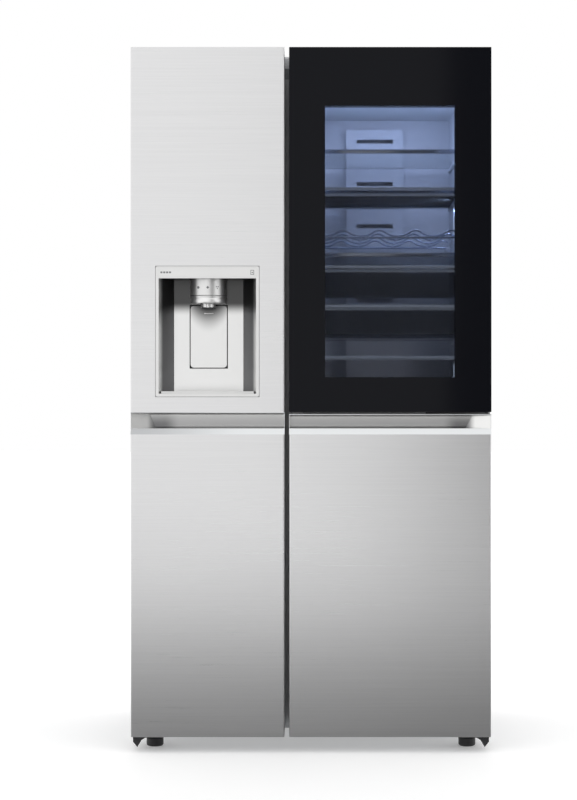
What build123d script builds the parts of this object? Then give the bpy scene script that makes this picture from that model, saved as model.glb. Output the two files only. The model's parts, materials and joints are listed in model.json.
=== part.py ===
"""Side by side refrigerator with an ice and water dispenser and a door in door.

Millimetres. +Z is up and -Y is the front. The origin is the middle of the
footprint, on the floor. Left and right are as seen by someone facing the doors.
"""

import os
from math import cos, radians, sin

from build123d import *

os.makedirs("parts", exist_ok=True)

# ---------------------------------------------------------------- driving dimensions

WIDTH = 913.0
DEPTH = 735.0
HEIGHT = 1790.0
SIDE_X = WIDTH / 2
FRONT_Y = -DEPTH / 2
BACK_Y = DEPTH / 2

# doors
PROUD = 1.0                          # the dispenser frame stands out of the steel by this
SKIN_Y = FRONT_Y + PROUD             # front of the steel
DOOR_BACK_Y = -261.5
LINER_SHEET = 2.0
LINER_Y = DOOR_BACK_Y - LINER_SHEET
SHEET = 1.0
CORNER_R = 4.0
DOOR_LOW_Z = 40.0
DOOR_TOP_Z = 1786.0
CAP_H = 6.0
FREEZER_DOOR_X = (-SIDE_X, -66.8)
FRIDGE_DOOR_X = (-55.4, SIDE_X)
HINGE_X = 432.5
HINGE_Y = -306.5

# handle groove across both doors
GROOVE_TOP_Z = 862.0
LIP_TOP_Z = 821.0
LIP_LOW_Z = 806.0
GROOVE_FLOOR_Z = 800.5
GROOVE_DEPTH = 31.0
GROOVE_RAMP = 66.0                   # width of the shallow end, at the hinge side

# cabinet
CAB_FRONT_Y = -249.5
CAB_LOW_Z = 45.0
CAB_TOP_Z = 1750.0
CASE_SHEET = 1.2
FLANGE = 28.0
FREEZER_X = (-394.5, -92.0)
FRIDGE_X = (-32.0, 394.5)
ROOM_Z = (110.0, 1690.0)
ROOM_BACK_Y = 305.0
STEP_Y = 80.0                        # the rooms' floor ends here, over the machine room
STEP_Z = 380.0
MACHINE_Y = 130.0
MACHINE_TOP_Z = 330.0
PAN_TOP_Z = CAB_LOW_Z + 1.5

# dispenser
DISPENSER_X = -262.15
FRAME_HALF = 130.85
FRAME_Z = (901.4, 1231.4)
MOUTH_HALF = 123.25
MOUTH_Z = (909.0, 1200.8)
BACK_HALF = 88.5
CAVITY_Y = (FRONT_Y + 4.0, FRONT_Y + 73.0)
CAVITY_WALL = 2.5
PADDLE_HALF = 46.5
PADDLE_Z = (976.0, 1134.0)

# door in door
OUTER_Y = (SKIN_Y, -331.5)
INNER_Y = -327.5
OUTER_Z = (862.5, DOOR_TOP_Z)
GLASS_T = 4.0
WINDOW_X = (35.7, 364.9)
WINDOW_Z = (950.7, 1637.3)
PANTRY_X = (20.0, 385.0)
PANTRY_Z = (905.0, 1665.0)
OUTER_PIVOT = (444.5, -356.5)
INNER_TOP_Z = 1780.0

# gap left between parts that move past each other
CLEAR = 0.3
RUNNING = 0.05


def block(low, high, mode=Mode.ADD):
    """A box between two opposite corners."""
    with Locations(tuple((a + b) / 2 for a, b in zip(low, high))):
        Box(*(b - a for a, b in zip(low, high)), mode=mode)


def rod(centre, radius, length, axis="Z", mode=Mode.ADD):
    """A round bar about its middle, along one axis."""
    turn = {"X": (0, 90, 0), "Y": (90, 0, 0), "Z": (0, 0, 0)}[axis]
    with Locations(Location(centre, turn)):
        Cylinder(radius, length, mode=mode)


def rounded_front(x, y, z, radius, mode=Mode.ADD):
    """A box whose two upright edges at the front are rounded."""
    with BuildSketch(Plane.XY.offset(z[0]), mode=Mode.PRIVATE) as plan:
        with Locations(((x[0] + x[1]) / 2, (y[0] + y[1]) / 2)):
            Rectangle(x[1] - x[0], y[1] - y[0])
        fillet(plan.vertices().group_by(Axis.Y)[0], radius)
    extrude(plan.sketch, amount=z[1] - z[0], mode=mode)


def folded_skin(x, z):
    """A sheet steel front with rounded corners and a return down each side."""
    rounded_front(x, (SKIN_Y, LINER_Y), z, CORNER_R)
    inside = (x[0] + SHEET, x[1] - SHEET)
    rounded_front(inside, (SKIN_Y + SHEET, LINER_Y + 20), z, CORNER_R - SHEET, Mode.SUBTRACT)


def ring(x, y, z, width):
    """A flat rectangular ring that lies upright, as a door gasket does."""
    block((x[0], y[0], z[0]), (x[1], y[1], z[1]))
    block((x[0] + width, y[0] - 1, z[0] + width), (x[1] - width, y[1] + 1, z[1] - width),
          Mode.SUBTRACT)


def open_tray(x, y, z, wall, base=None):
    """A bin that is open at the top."""
    block((x[0], y[0], z[0]), (x[1], y[1], z[1]))
    block((x[0] + wall, y[0] + wall, z[0] + (base or wall)), (x[1] - wall, y[1] - wall, z[1] + 1),
          Mode.SUBTRACT)


def room(x, grow, front, mode=Mode.ADD):
    """The stepped space of one compartment, grown by a wall thickness."""
    block((x[0] - grow, front, STEP_Z - grow), (x[1] + grow, ROOM_BACK_Y + grow, ROOM_Z[1] + grow),
          mode)
    block((x[0] - grow, front, ROOM_Z[0] - grow), (x[1] + grow, STEP_Y + grow, STEP_Z + 1), mode)


# ---------------------------------------------------------------- cabinet shells

with BuildPart() as outer_case:
    block((-SIDE_X, CAB_FRONT_Y, CAB_LOW_Z), (SIDE_X, BACK_Y - CASE_SHEET, CAB_TOP_Z))
    block((-SIDE_X + CASE_SHEET, CAB_FRONT_Y + CASE_SHEET, 0),
          (SIDE_X - CASE_SHEET, BACK_Y, CAB_TOP_Z - CASE_SHEET), Mode.SUBTRACT)
    block((-SIDE_X + FLANGE, CAB_FRONT_Y - 1, 0),
          (SIDE_X - FLANGE, CAB_FRONT_Y + 5, CAB_TOP_Z - FLANGE), Mode.SUBTRACT)
outer_case.part.label = "outer_case"
export_step(outer_case.part, "parts/outer_case.step")

with BuildPart() as back_panel:
    block((-SIDE_X, BACK_Y - CASE_SHEET, MACHINE_TOP_Z), (SIDE_X, BACK_Y, CAB_TOP_Z))
    with BuildSketch(Plane.XZ.offset(-BACK_Y)):
        with Locations((0, 1040)):
            with GridLocations(210, 1, 4, 1):
                SlotOverall(1100, 22, rotation=90)
    extrude(amount=0.5, mode=Mode.SUBTRACT)
back_panel.part.label = "back_panel"
export_step(back_panel.part, "parts/back_panel.step")

ROLLER_X = 380.0
ROLLER_Y = 300.0
ROLLER_R = 20.0
ROLLER_HALF = 12.0
AXLE_R = 4.0
EAR_T = 3.0

with BuildPart() as base_pan:
    inside = SIDE_X - CASE_SHEET
    block((-inside, CAB_FRONT_Y + CASE_SHEET, CAB_LOW_Z), (inside, BACK_Y - 20, PAN_TOP_Z))
    block((-SIDE_X + FLANGE, CAB_FRONT_Y, CAB_LOW_Z), (SIDE_X - FLANGE, CAB_FRONT_Y + 1.5, 75))
    for side in (-1, 1):
        for offset in (-ROLLER_HALF - CLEAR - EAR_T, ROLLER_HALF + CLEAR):
            low = side * ROLLER_X + offset
            block((low, ROLLER_Y - 16, 8), (low + EAR_T, ROLLER_Y + 16, CAB_LOW_Z))
    rod((0, ROLLER_Y, ROLLER_R), AXLE_R + RUNNING, WIDTH, "X", Mode.SUBTRACT)
base_pan.part.label = "base_pan"
export_step(base_pan.part, "parts/base_pan.step")

with BuildPart() as cabinet_insulation:
    inside = SIDE_X - CASE_SHEET
    block((-inside, CAB_FRONT_Y + 2.5, PAN_TOP_Z),
          (inside, BACK_Y - CASE_SHEET, CAB_TOP_Z - CASE_SHEET))
    for space in (FREEZER_X, FRIDGE_X):
        room(space, LINER_SHEET, CAB_FRONT_Y - 5, Mode.SUBTRACT)
    block((-SIDE_X, MACHINE_Y, 0), (SIDE_X, BACK_Y + 5, MACHINE_TOP_Z), Mode.SUBTRACT)
cabinet_insulation.part.label = "cabinet_insulation"
export_step(cabinet_insulation.part, "parts/cabinet_insulation.step")

LINER_FLANGE_Z = (75.0, CAB_TOP_Z - FLANGE)

with BuildPart() as freezer_liner:
    room(FREEZER_X, LINER_SHEET, CAB_FRONT_Y + 1)
    block((-SIDE_X + FLANGE, CAB_FRONT_Y, LINER_FLANGE_Z[0]),
          (FREEZER_X[1] + LINER_SHEET, CAB_FRONT_Y + 2.5, LINER_FLANGE_Z[1]))
    room(FREEZER_X, 0, CAB_FRONT_Y - 1, Mode.SUBTRACT)
freezer_liner.part.label = "freezer_liner"
export_step(freezer_liner.part, "parts/freezer_liner.step")

with BuildPart() as fridge_liner:
    room(FRIDGE_X, LINER_SHEET, CAB_FRONT_Y + 1)
    block((FRIDGE_X[0] - LINER_SHEET, CAB_FRONT_Y, LINER_FLANGE_Z[0]),
          (SIDE_X - FLANGE, CAB_FRONT_Y + 2.5, LINER_FLANGE_Z[1]))
    room(FRIDGE_X, 0, CAB_FRONT_Y - 1, Mode.SUBTRACT)
fridge_liner.part.label = "fridge_liner"
export_step(fridge_liner.part, "parts/fridge_liner.step")

with BuildPart() as centre_mullion:
    block((FREEZER_X[1] + LINER_SHEET, CAB_FRONT_Y, LINER_FLANGE_Z[0]),
          (FRIDGE_X[0] - LINER_SHEET, CAB_FRONT_Y + 2.5, LINER_FLANGE_Z[1]))
centre_mullion.part.label = "centre_mullion"
export_step(centre_mullion.part, "parts/centre_mullion.step")

TOP_HINGE_X = (415.0, 447.0)
RISER_Y = (-225.0, -219.0)
COVER_TOP_Z = 1782.0

with BuildPart() as top_cover:
    block((-452, -246, CAB_TOP_Z), (452, -150, COVER_TOP_Z))
    fillet(top_cover.edges().filter_by(Axis.X).group_by(Axis.Z)[-1], 6)
    block((-449.5, -243.5, CAB_TOP_Z - 1), (449.5, -152.5, COVER_TOP_Z - 2.5), Mode.SUBTRACT)
    for side in (-1, 1):
        xs = sorted((side * (TOP_HINGE_X[0] - 2), side * (TOP_HINGE_X[1] + 2)))
        block((xs[0], RISER_Y[0] - 2, CAB_TOP_Z + 5), (xs[1], RISER_Y[1] + 2, HEIGHT),
              Mode.SUBTRACT)
top_cover.part.label = "top_cover"
export_step(top_cover.part, "parts/top_cover.step")

# ---------------------------------------------------------------- hinges and screws

ARM_Z = (HEIGHT - 3, HEIGHT)
TOP_PIN_R = 6.0
LOW_PIN_R = 5.0

with BuildPart() as top_hinges:
    for side in (-1, 1):
        xs = sorted((side * TOP_HINGE_X[0], side * TOP_HINGE_X[1]))
        block((xs[0], RISER_Y[0], CAB_TOP_Z), (xs[1], -160, CAB_TOP_Z + 3))
        block((xs[0], RISER_Y[0], CAB_TOP_Z), (xs[1], RISER_Y[1], HEIGHT))
        block((xs[0], HINGE_Y - 11, ARM_Z[0]), (xs[1], RISER_Y[1], ARM_Z[1]))
        rod((side * HINGE_X, HINGE_Y, HEIGHT - 13), TOP_PIN_R, 24)
top_hinges.part.label = "top_hinges"
export_step(top_hinges.part, "parts/top_hinges.step")

FOOT_X = 403.0
FOOT_Y = -252.0
FOOT_R = 22.0
FOOT_H = 22.0
STEM_R = 6.0
BRACKET_Z = (34.5, 38.5)
BRACKET_FRONT_Y = -325.0

with BuildPart() as bottom_hinges:
    for side in (-1, 1):
        xs = sorted((side * 381.0, side * 454.0))
        block((xs[0], BRACKET_FRONT_Y, BRACKET_Z[0]), (xs[1], -190, BRACKET_Z[1]))
        block((xs[0], -236, BRACKET_Z[0]), (xs[1], -190, CAB_LOW_Z))
        with BuildSketch(Plane.XZ.offset(-BRACKET_FRONT_Y)):
            with BuildLine():
                Polyline((side * 454, 38.5), (side * 454, 22), (side * 443, 8), (side * 432, 26),
                         (side * 424, 31), (side * 412, 34.5), (side * 400, 38.5), close=True)
            make_face()
        extrude(amount=-3)
        rod((side * HINGE_X, HINGE_Y, BRACKET_Z[1] + 9), LOW_PIN_R, 18)
        rod((side * FOOT_X, FOOT_Y, BRACKET_Z[0]), STEM_R + RUNNING, 30, mode=Mode.SUBTRACT)
bottom_hinges.part.label = "bottom_hinges"
export_step(bottom_hinges.part, "parts/bottom_hinges.step")

with BuildPart() as hinge_screws:
    for side in (-1, 1):
        for x, y in ((422, -175), (440, -175), (431, -200)):
            rod((side * x, y, CAB_TOP_Z + 5), 5.5, 4)
            rod((side * x, y, CAB_TOP_Z + 3 + 0.5), 2.5, 1)
        for x, y in ((392, -200), (442, -200)):
            rod((side * x, y, BRACKET_Z[0] - 2), 6, 4)
hinge_screws.part.label = "hinge_screws"
export_step(hinge_screws.part, "parts/hinge_screws.step")

# ---------------------------------------------------------------- feet and rollers


def levelling_foot(side):
    """A round foot with a threaded stem that goes up through the hinge bracket."""
    with BuildPart() as foot:
        rod((side * FOOT_X, FOOT_Y, FOOT_H / 2), FOOT_R, FOOT_H)
        fillet(foot.edges().group_by(Axis.Z)[0], 6)
        fillet(foot.edges().group_by(Axis.Z)[-1], 2)
        rod((side * FOOT_X, FOOT_Y, (FOOT_H + 43) / 2), STEM_R, 43 - FOOT_H)
    return foot


front_foot_left = levelling_foot(-1)
front_foot_left.part.label = "front_foot_left"
export_step(front_foot_left.part, "parts/front_foot_left.step")

front_foot_right = levelling_foot(1)
front_foot_right.part.label = "front_foot_right"
export_step(front_foot_right.part, "parts/front_foot_right.step")

with BuildPart() as rear_rollers:
    for side in (-1, 1):
        rod((side * ROLLER_X, ROLLER_Y, ROLLER_R), ROLLER_R, 2 * ROLLER_HALF, "X")
        rod((side * ROLLER_X, ROLLER_Y, ROLLER_R), AXLE_R, 2 * (ROLLER_HALF + EAR_T + 3), "X")
    fillet(rear_rollers.edges().filter_by(GeomType.CIRCLE).group_by(lambda e: e.radius)[-1], 2)
rear_rollers.part.label = "rear_rollers"
export_step(rear_rollers.part, "parts/rear_rollers.step")

# ---------------------------------------------------------------- inside the cabinet

SHELF_Y = (-135.0, 270.0)
DRAWER_FRONT_Y = -174.5
DUCT_Y = 218.0                       # front of the freezer's air duct
EVAPORATOR_Z = (420.0, 780.0)
FAN_Z = 880.0


def glass_shelf(x, y, z):
    """A glass shelf with a moulded rim along its front edge."""
    block((x[0] + CLEAR, y[0] + 8, z), (x[1] - CLEAR, y[1], z + 4))
    block((x[0] + CLEAR, y[0], z - 4), (x[1] - CLEAR, y[0] + 8, z + 7))


with BuildPart() as freezer_shelves:
    for height in (860, 1150, 1440):
        glass_shelf(FREEZER_X, (-120, DUCT_Y), height)
    glass_shelf(FREEZER_X, (SHELF_Y[0], DUCT_Y), 572)
freezer_shelves.part.label = "freezer_shelves"
export_step(freezer_shelves.part, "parts/freezer_shelves.step")

with BuildPart() as fridge_shelves:
    for height in (574, 820, 1060, 1275, 1440, 1548):
        glass_shelf(FRIDGE_X, SHELF_Y, height)
fridge_shelves.part.label = "fridge_shelves"
export_step(fridge_shelves.part, "parts/fridge_shelves.step")

WIRE_R = 2.5
RACK_Z = 1342.0
RACK_SPAN = (-24.0, 386.0)
CRADLE_R = 58.0
CREST_R = 25.5
WAVE_TURN = 35.0                     # degrees either side of each low and high point
HALF_WAVE = (CRADLE_R + CREST_R) * sin(radians(WAVE_TURN))
WAVE_RISE = (CRADLE_R + CREST_R) * (1 - cos(radians(WAVE_TURN)))


def wave_arc(x, z, radius, low):
    """One cradle (low) or crest of the bottle rack's wavy wire, centred on x."""
    sign = -1 if low else 1
    reach = radius * sin(radians(WAVE_TURN))
    drop = radius * (1 - cos(radians(WAVE_TURN)))
    ThreePointArc((x - reach, z - sign * drop), (x, z), (x + reach, z - sign * drop))


with BuildPart() as bottle_rack:
    middle = sum(RACK_SPAN) / 2
    for y in (-120, 0, 120, 240):
        with BuildLine(Plane.XZ.offset(-y)) as wave:
            for step in range(-4, 5):
                low = step % 2 == 1
                height = RACK_Z - (WAVE_RISE if low else 0)
                wave_arc(middle + step * HALF_WAVE, height, CRADLE_R if low else CREST_R, low)
        with BuildSketch(Plane(wave.line @ 0, z_dir=wave.line % 0)):
            Circle(WIRE_R)
        sweep(transition=Transition.ROUND)
    cradle_z = RACK_Z - WAVE_RISE
    for step in (-3, -1, 1, 3):
        rod((middle + step * HALF_WAVE, 60, cradle_z - 3), WIRE_R, 380, "Y")
    rod((middle, -130, cradle_z - 4), 3, RACK_SPAN[1] - RACK_SPAN[0], "X")
    rod((middle, 250, cradle_z - 4), 3, RACK_SPAN[1] - RACK_SPAN[0], "X")
bottle_rack.part.label = "bottle_rack"
export_step(bottle_rack.part, "parts/bottle_rack.step")

with BuildPart() as air_ducts:
    block((-390, DUCT_Y, STEP_Z + 2), (-97, ROOM_BACK_Y, 1688))
    block((-387, DUCT_Y + 3, STEP_Z + 5), (-100, ROOM_BACK_Y + 1, 1685), Mode.SUBTRACT)
    block((100, SHELF_Y[1], 620), (262, ROOM_BACK_Y, 1660))
    block((103, SHELF_Y[1] + 3, 623), (259, ROOM_BACK_Y + 1, 1657), Mode.SUBTRACT)
    for height in (700, 930, 1170, 1380, 1500, 1620):
        block((130, SHELF_Y[1] - 1, height), (232, SHELF_Y[1] + 4, height + 12), Mode.SUBTRACT)
    for height in (700, 920, 1150, 1380, 1600):
        block((-320, DUCT_Y - 1, height), (-170, DUCT_Y + 4, height + 12), Mode.SUBTRACT)
air_ducts.part.label = "air_ducts"
export_step(air_ducts.part, "parts/air_ducts.step")

with BuildPart() as evaporator:
    for x in range(-372, -110, 8):
        block((x, 238, EVAPORATOR_Z[0]), (x + 1, 298, EVAPORATOR_Z[1]))
    for height in range(440, 780, 40):
        for y in (252, 284):
            rod((-243.5, y, height), 4, 268, "X")
evaporator.part.label = "evaporator"
export_step(evaporator.part, "parts/evaporator.step")


def fan(radius, axis, centre):
    """A hub with five pitched blades, turning about one axis."""
    with BuildPart() as rotor:
        Cylinder(radius * 0.28, 18)
        with PolarLocations(radius * 0.62, 5):
            with Locations(Location((0, 0, 0), (28, 0, 0))):
                Box(radius * 0.76, radius * 0.42, 2)
    turn = {"X": (0, 90, 0), "Y": (90, 0, 0)}[axis]
    return Location(centre, turn) * rotor.part


evaporator_fan = fan(48, "Y", (-243, 262, FAN_Z))
evaporator_fan.label = "evaporator_fan"
export_step(evaporator_fan, "parts/evaporator_fan.step")

with BuildPart() as cabin_lamps:
    for x in (FREEZER_X, FRIDGE_X):
        middle = sum(x) / 2
        block((middle - 80, -90, ROOM_Z[1] - 5), (middle + 80, -40, ROOM_Z[1]))
    for height in (900, 1330):
        block((FRIDGE_X[1] - 4, 40, height), (FRIDGE_X[1], 70, height + 90))
cabin_lamps.part.label = "cabin_lamps"
export_step(cabin_lamps.part, "parts/cabin_lamps.step")

FILTER_X = 1.0

with BuildPart() as water_filter:
    rod((FILTER_X, 100, 1652), 30, 200, "Y")
    rod((FILTER_X, -14, 1652), 24, 28, "Y")
    fillet(water_filter.edges().group_by(Axis.Y)[0], 4)
    block((FILTER_X - 12, 0, 1678), (FILTER_X + 12, 200, ROOM_Z[1]))
water_filter.part.label = "water_filter"
export_step(water_filter.part, "parts/water_filter.step")


def drawer(x, z, back):
    """A clear bin with a thicker front and a finger lip along its top edge."""
    with BuildPart() as body:
        open_tray(x, (DRAWER_FRONT_Y, back), z, 3, 4)
        block((x[0], DRAWER_FRONT_Y, z[0]), (x[1], DRAWER_FRONT_Y + 6, z[1]))
        block((x[0], DRAWER_FRONT_Y, z[1] - 4), (x[1], DRAWER_FRONT_Y + 22, z[1]))
    return body


FREEZER_DRAWER_X = (-372.0, -98.0)
CRISPER_X = (-26.0, 372.0)
LOWER_Z = (112.0, 368.0)
UPPER_Z = (386.0, 562.0)
LOWER_BACK_Y = 68.0
UPPER_BACK_Y = 200.0

freezer_drawer_lower = drawer(FREEZER_DRAWER_X, LOWER_Z, LOWER_BACK_Y)
freezer_drawer_lower.part.label = "freezer_drawer_lower"
export_step(freezer_drawer_lower.part, "parts/freezer_drawer_lower.step")

freezer_drawer_upper = drawer(FREEZER_DRAWER_X, UPPER_Z, UPPER_BACK_Y)
freezer_drawer_upper.part.label = "freezer_drawer_upper"
export_step(freezer_drawer_upper.part, "parts/freezer_drawer_upper.step")

crisper_lower = drawer(CRISPER_X, LOWER_Z, LOWER_BACK_Y)
crisper_lower.part.label = "crisper_lower"
export_step(crisper_lower.part, "parts/crisper_lower.step")

crisper_upper = drawer(CRISPER_X, UPPER_Z, UPPER_BACK_Y)
crisper_upper.part.label = "crisper_upper"
export_step(crisper_upper.part, "parts/crisper_upper.step")

# ---------------------------------------------------------------- machine room

COVER_Y = 348.0
VALVE_X = -375.0
VALVE_Z = 200.0
INLET_R = 13.2
GLAND_X = 385.0
GLAND_Z = 150.0

with BuildPart() as compressor:
    rod((250, 240, 150), 82, 120)
    fillet(compressor.edges().filter_by(GeomType.CIRCLE), 30)
    rod((250, 240, 150), 88, 6)
    for x, y in ((175, 175), (325, 175), (175, 305), (325, 305)):
        rod((x, y, PAN_TOP_Z + 12), 12, 24)
    block((165, 165, PAN_TOP_Z + 24), (335, 315, PAN_TOP_Z + 46))
compressor.part.label = "compressor"
export_step(compressor.part, "parts/compressor.step")

with BuildPart() as condenser:
    for x in range(-260, -40, 8):
        block((x, 180, 82), (x + 1, 310, 270))
    for height in (104, 140, 176, 212, 248):
        for y in (205, 245, 285):
            rod((-152, y, height), 4, 236, "X")
condenser.part.label = "condenser"
export_step(condenser.part, "parts/condenser.step")

with BuildPart() as drain_pan:
    open_tray((-280, -20), (160, 325), (PAN_TOP_Z, 74), 2.5)
drain_pan.part.label = "drain_pan"
export_step(drain_pan.part, "parts/drain_pan.step")

condenser_fan = fan(68, "X", (40, 245, 176))
condenser_fan.label = "condenser_fan"
export_step(condenser_fan, "parts/condenser_fan.step")

with BuildPart() as water_valve:
    block((VALVE_X - 26, 280, VALVE_Z - 24), (VALVE_X + 26, COVER_Y - 1, VALVE_Z + 30))
    rod((VALVE_X, 300, VALVE_Z + 46), 17, 34)
    rod((VALVE_X, (COVER_Y - 1 + 366) / 2, VALVE_Z), INLET_R, 366 - COVER_Y + 1, "Y")
water_valve.part.label = "water_valve"
export_step(water_valve.part, "parts/water_valve.step")

with BuildPart() as machine_cover:
    edge = SIDE_X - CASE_SHEET
    block((-edge, COVER_Y, PAN_TOP_Z), (edge, COVER_Y + 1.5, MACHINE_TOP_Z))
    rod((VALVE_X, COVER_Y, VALVE_Z), INLET_R + 3, 10, "Y", Mode.SUBTRACT)
    rod((GLAND_X, COVER_Y, GLAND_Z), 10, 10, "Y", Mode.SUBTRACT)
    with BuildSketch(Plane.XZ.offset(-COVER_Y - 1.5)):
        with Locations((-150, 190)):
            with GridLocations(44, 26, 5, 7):
                SlotOverall(34, 8)
        with Locations((150, 190)):
            with GridLocations(44, 26, 6, 7):
                SlotOverall(34, 8)
    extrude(amount=5, mode=Mode.SUBTRACT)
machine_cover.part.label = "machine_cover"
export_step(machine_cover.part, "parts/machine_cover.step")

with BuildPart() as cord_gland:
    rod((GLAND_X, COVER_Y + 1, GLAND_Z), 10, 12, "Y")
    rod((GLAND_X, COVER_Y + 4, GLAND_Z), 14, 5, "Y")
    rod((GLAND_X, COVER_Y, GLAND_Z), 4, 30, "Y", Mode.SUBTRACT)
cord_gland.part.label = "cord_gland"
export_step(cord_gland.part, "parts/cord_gland.step")

# ---------------------------------------------------------------- parts that both doors share


def handle_groove(x, ceiling, hinge_side):
    """The pocket handle: a groove with a chamfered lip, shallow at the hinge side."""
    lip = [(0, LIP_LOW_Z), (8.5, LIP_TOP_Z), (12, LIP_TOP_Z - 1), (12, GROOVE_FLOOR_Z)]
    pocket = [(GROOVE_DEPTH, GROOVE_FLOOR_Z), (GROOVE_DEPTH, LIP_TOP_Z), (26, ceiling - 6)]
    outside = [(0, ceiling - 1.5), (0, ceiling), (34, ceiling), (34, LIP_LOW_Z - 10),
               (SHEET, LIP_LOW_Z - 10), (SHEET, LIP_LOW_Z)]
    with BuildSketch(Plane.YZ.offset(x[0])) as section:
        with BuildLine():
            Polyline(*((SKIN_Y + d, z) for d, z in lip + pocket + outside), close=True)
        make_face()
    extrude(section.sketch, amount=x[1] - x[0])
    edge, inner = (x[0], x[0] + GROOVE_RAMP) if hinge_side < 0 else (x[1], x[1] - GROOVE_RAMP)
    with BuildSketch(Plane.XY.offset(GROOVE_FLOOR_Z)) as ramp:
        with BuildLine():
            Polyline((edge, SKIN_Y + 10), (inner, SKIN_Y + GROOVE_DEPTH + 1),
                     (edge, SKIN_Y + GROOVE_DEPTH + 1), close=True)
        make_face()
    extrude(ramp.sketch, amount=ceiling - GROOVE_FLOOR_Z)
    for low in (x[0], x[1] - CORNER_R):
        block((low, SKIN_Y, LIP_LOW_Z - 11), (low + CORNER_R, SKIN_Y + 40, LIP_LOW_Z), Mode.SUBTRACT)
    for side in (0, 1):
        low = x[0] if side == 0 else x[1] - SHEET
        block((low, SKIN_Y + 8, LIP_LOW_Z), (low + SHEET, LINER_Y, ceiling))


def dyke(x, z, back_y):
    """The raised rim on the back of a door that carries the baskets."""
    block((x[0], LINER_Y, z[0]), (x[1], back_y, z[1]))
    block((x[0] + 12, DOOR_BACK_Y, z[0] + 12), (x[1] - 12, back_y + 1, z[1] - 12), Mode.SUBTRACT)


DYKE_BACK_Y = -232.0
DYKE_Z = (122.0, 1678.0)
GASKET_Y = (DOOR_BACK_Y, CAB_FRONT_Y - CLEAR)
GASKET_Z = (86.0, 1710.0)
GASKET_W = 21.0
BASKET_BACK_Y = -190.0
PIN_HOLE = 0.08

# ---------------------------------------------------------------- freezer door

FREEZER_DYKE_X = (-386.0, -106.0)
SPIGOT = 4.0                         # the frame's lip inside the steel's cut-out


def dispenser_prism(half_front, half_back, y, z, mode=Mode.ADD):
    """A block that narrows towards the back, centred on the dispenser."""
    with BuildSketch(Plane.XY.offset(z[0])) as plan:
        with BuildLine():
            Polyline((DISPENSER_X - half_front, y[0]), (DISPENSER_X + half_front, y[0]),
                     (DISPENSER_X + half_back, y[1]), (DISPENSER_X - half_back, y[1]), close=True)
        make_face()
    extrude(plan.sketch, amount=z[1] - z[0], mode=mode)


POCKET_HALF = PADDLE_HALF + 2.5
POCKET_Z = (PADDLE_Z[0] - 2.5, PADDLE_Z[1] + 2.5)
POCKET_BACK_Y = CAVITY_Y[1] + 22


def paddle_pocket(grow, mode=Mode.ADD):
    """The hollow behind the paddle, grown by a wall thickness."""
    block((DISPENSER_X - POCKET_HALF - grow, CAVITY_Y[1] - 1, POCKET_Z[0] - grow),
          (DISPENSER_X + POCKET_HALF + grow, POCKET_BACK_Y + grow, POCKET_Z[1] + grow), mode)


def cavity_outside(mode=Mode.ADD):
    """The outer surface of the dispenser's recess."""
    wall = CAVITY_WALL
    dispenser_prism(MOUTH_HALF + wall, BACK_HALF + wall, (CAVITY_Y[0], CAVITY_Y[1] + wall),
                    (MOUTH_Z[0] - wall, MOUTH_Z[1] + wall), mode)
    paddle_pocket(wall, mode)


CUTOUT = ((DISPENSER_X - FRAME_HALF + SPIGOT, FRONT_Y - 1, FRAME_Z[0] + SPIGOT),
          (DISPENSER_X + FRAME_HALF - SPIGOT, CAVITY_Y[0], FRAME_Z[1] - SPIGOT))

with BuildPart() as freezer_door_panels:
    folded_skin(FREEZER_DOOR_X, (DOOR_LOW_Z, LIP_LOW_Z))
    folded_skin(FREEZER_DOOR_X, (GROOVE_TOP_Z, DOOR_TOP_Z))
    block(*CUTOUT, Mode.SUBTRACT)
freezer_door_panels.part.label = "freezer_door_panels"
export_step(freezer_door_panels.part, "parts/freezer_door_panels.step")

with BuildPart() as freezer_door_core:
    inner_x = (FREEZER_DOOR_X[0] + SHEET, FREEZER_DOOR_X[1] - SHEET)
    rounded_front(inner_x, (SKIN_Y + SHEET, LINER_Y), (DOOR_LOW_Z + CAP_H, DOOR_TOP_Z - CAP_H),
                  CORNER_R - SHEET)
    block((FREEZER_DOOR_X[0], SKIN_Y, LIP_LOW_Z - 10), (FREEZER_DOOR_X[1], SKIN_Y + 34, GROOVE_TOP_Z),
          Mode.SUBTRACT)
    block(*CUTOUT, Mode.SUBTRACT)
    cavity_outside(Mode.SUBTRACT)
    rod((-HINGE_X, HINGE_Y, 0), LOW_PIN_R + 2, 130, mode=Mode.SUBTRACT)
    rod((-HINGE_X, HINGE_Y, DOOR_TOP_Z), TOP_PIN_R + 2, 60, mode=Mode.SUBTRACT)
freezer_door_core.part.label = "freezer_door_core"
export_step(freezer_door_core.part, "parts/freezer_door_core.step")

with BuildPart() as freezer_door_liner:
    block((FREEZER_DOOR_X[0], LINER_Y, DOOR_LOW_Z), (FREEZER_DOOR_X[1], DOOR_BACK_Y, DOOR_TOP_Z))
    dyke(FREEZER_DYKE_X, DYKE_Z, DYKE_BACK_Y)
freezer_door_liner.part.label = "freezer_door_liner"
export_step(freezer_door_liner.part, "parts/freezer_door_liner.step")

with BuildPart() as freezer_door_gasket:
    ring((-SIDE_X + FLANGE, -72.0), GASKET_Y, GASKET_Z, GASKET_W)
freezer_door_gasket.part.label = "freezer_door_gasket"
export_step(freezer_door_gasket.part, "parts/freezer_door_gasket.step")

with BuildPart() as freezer_door_caps:
    for low in (DOOR_LOW_Z, DOOR_TOP_Z - CAP_H):
        rounded_front(inner_x, (SKIN_Y + SHEET, LINER_Y), (low, low + CAP_H), CORNER_R - SHEET)
    rod((-HINGE_X, HINGE_Y, DOOR_LOW_Z), LOW_PIN_R + PIN_HOLE, 30, mode=Mode.SUBTRACT)
    rod((-HINGE_X, HINGE_Y, DOOR_TOP_Z), TOP_PIN_R + PIN_HOLE, 30, mode=Mode.SUBTRACT)
freezer_door_caps.part.label = "freezer_door_caps"
export_step(freezer_door_caps.part, "parts/freezer_door_caps.step")

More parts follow.
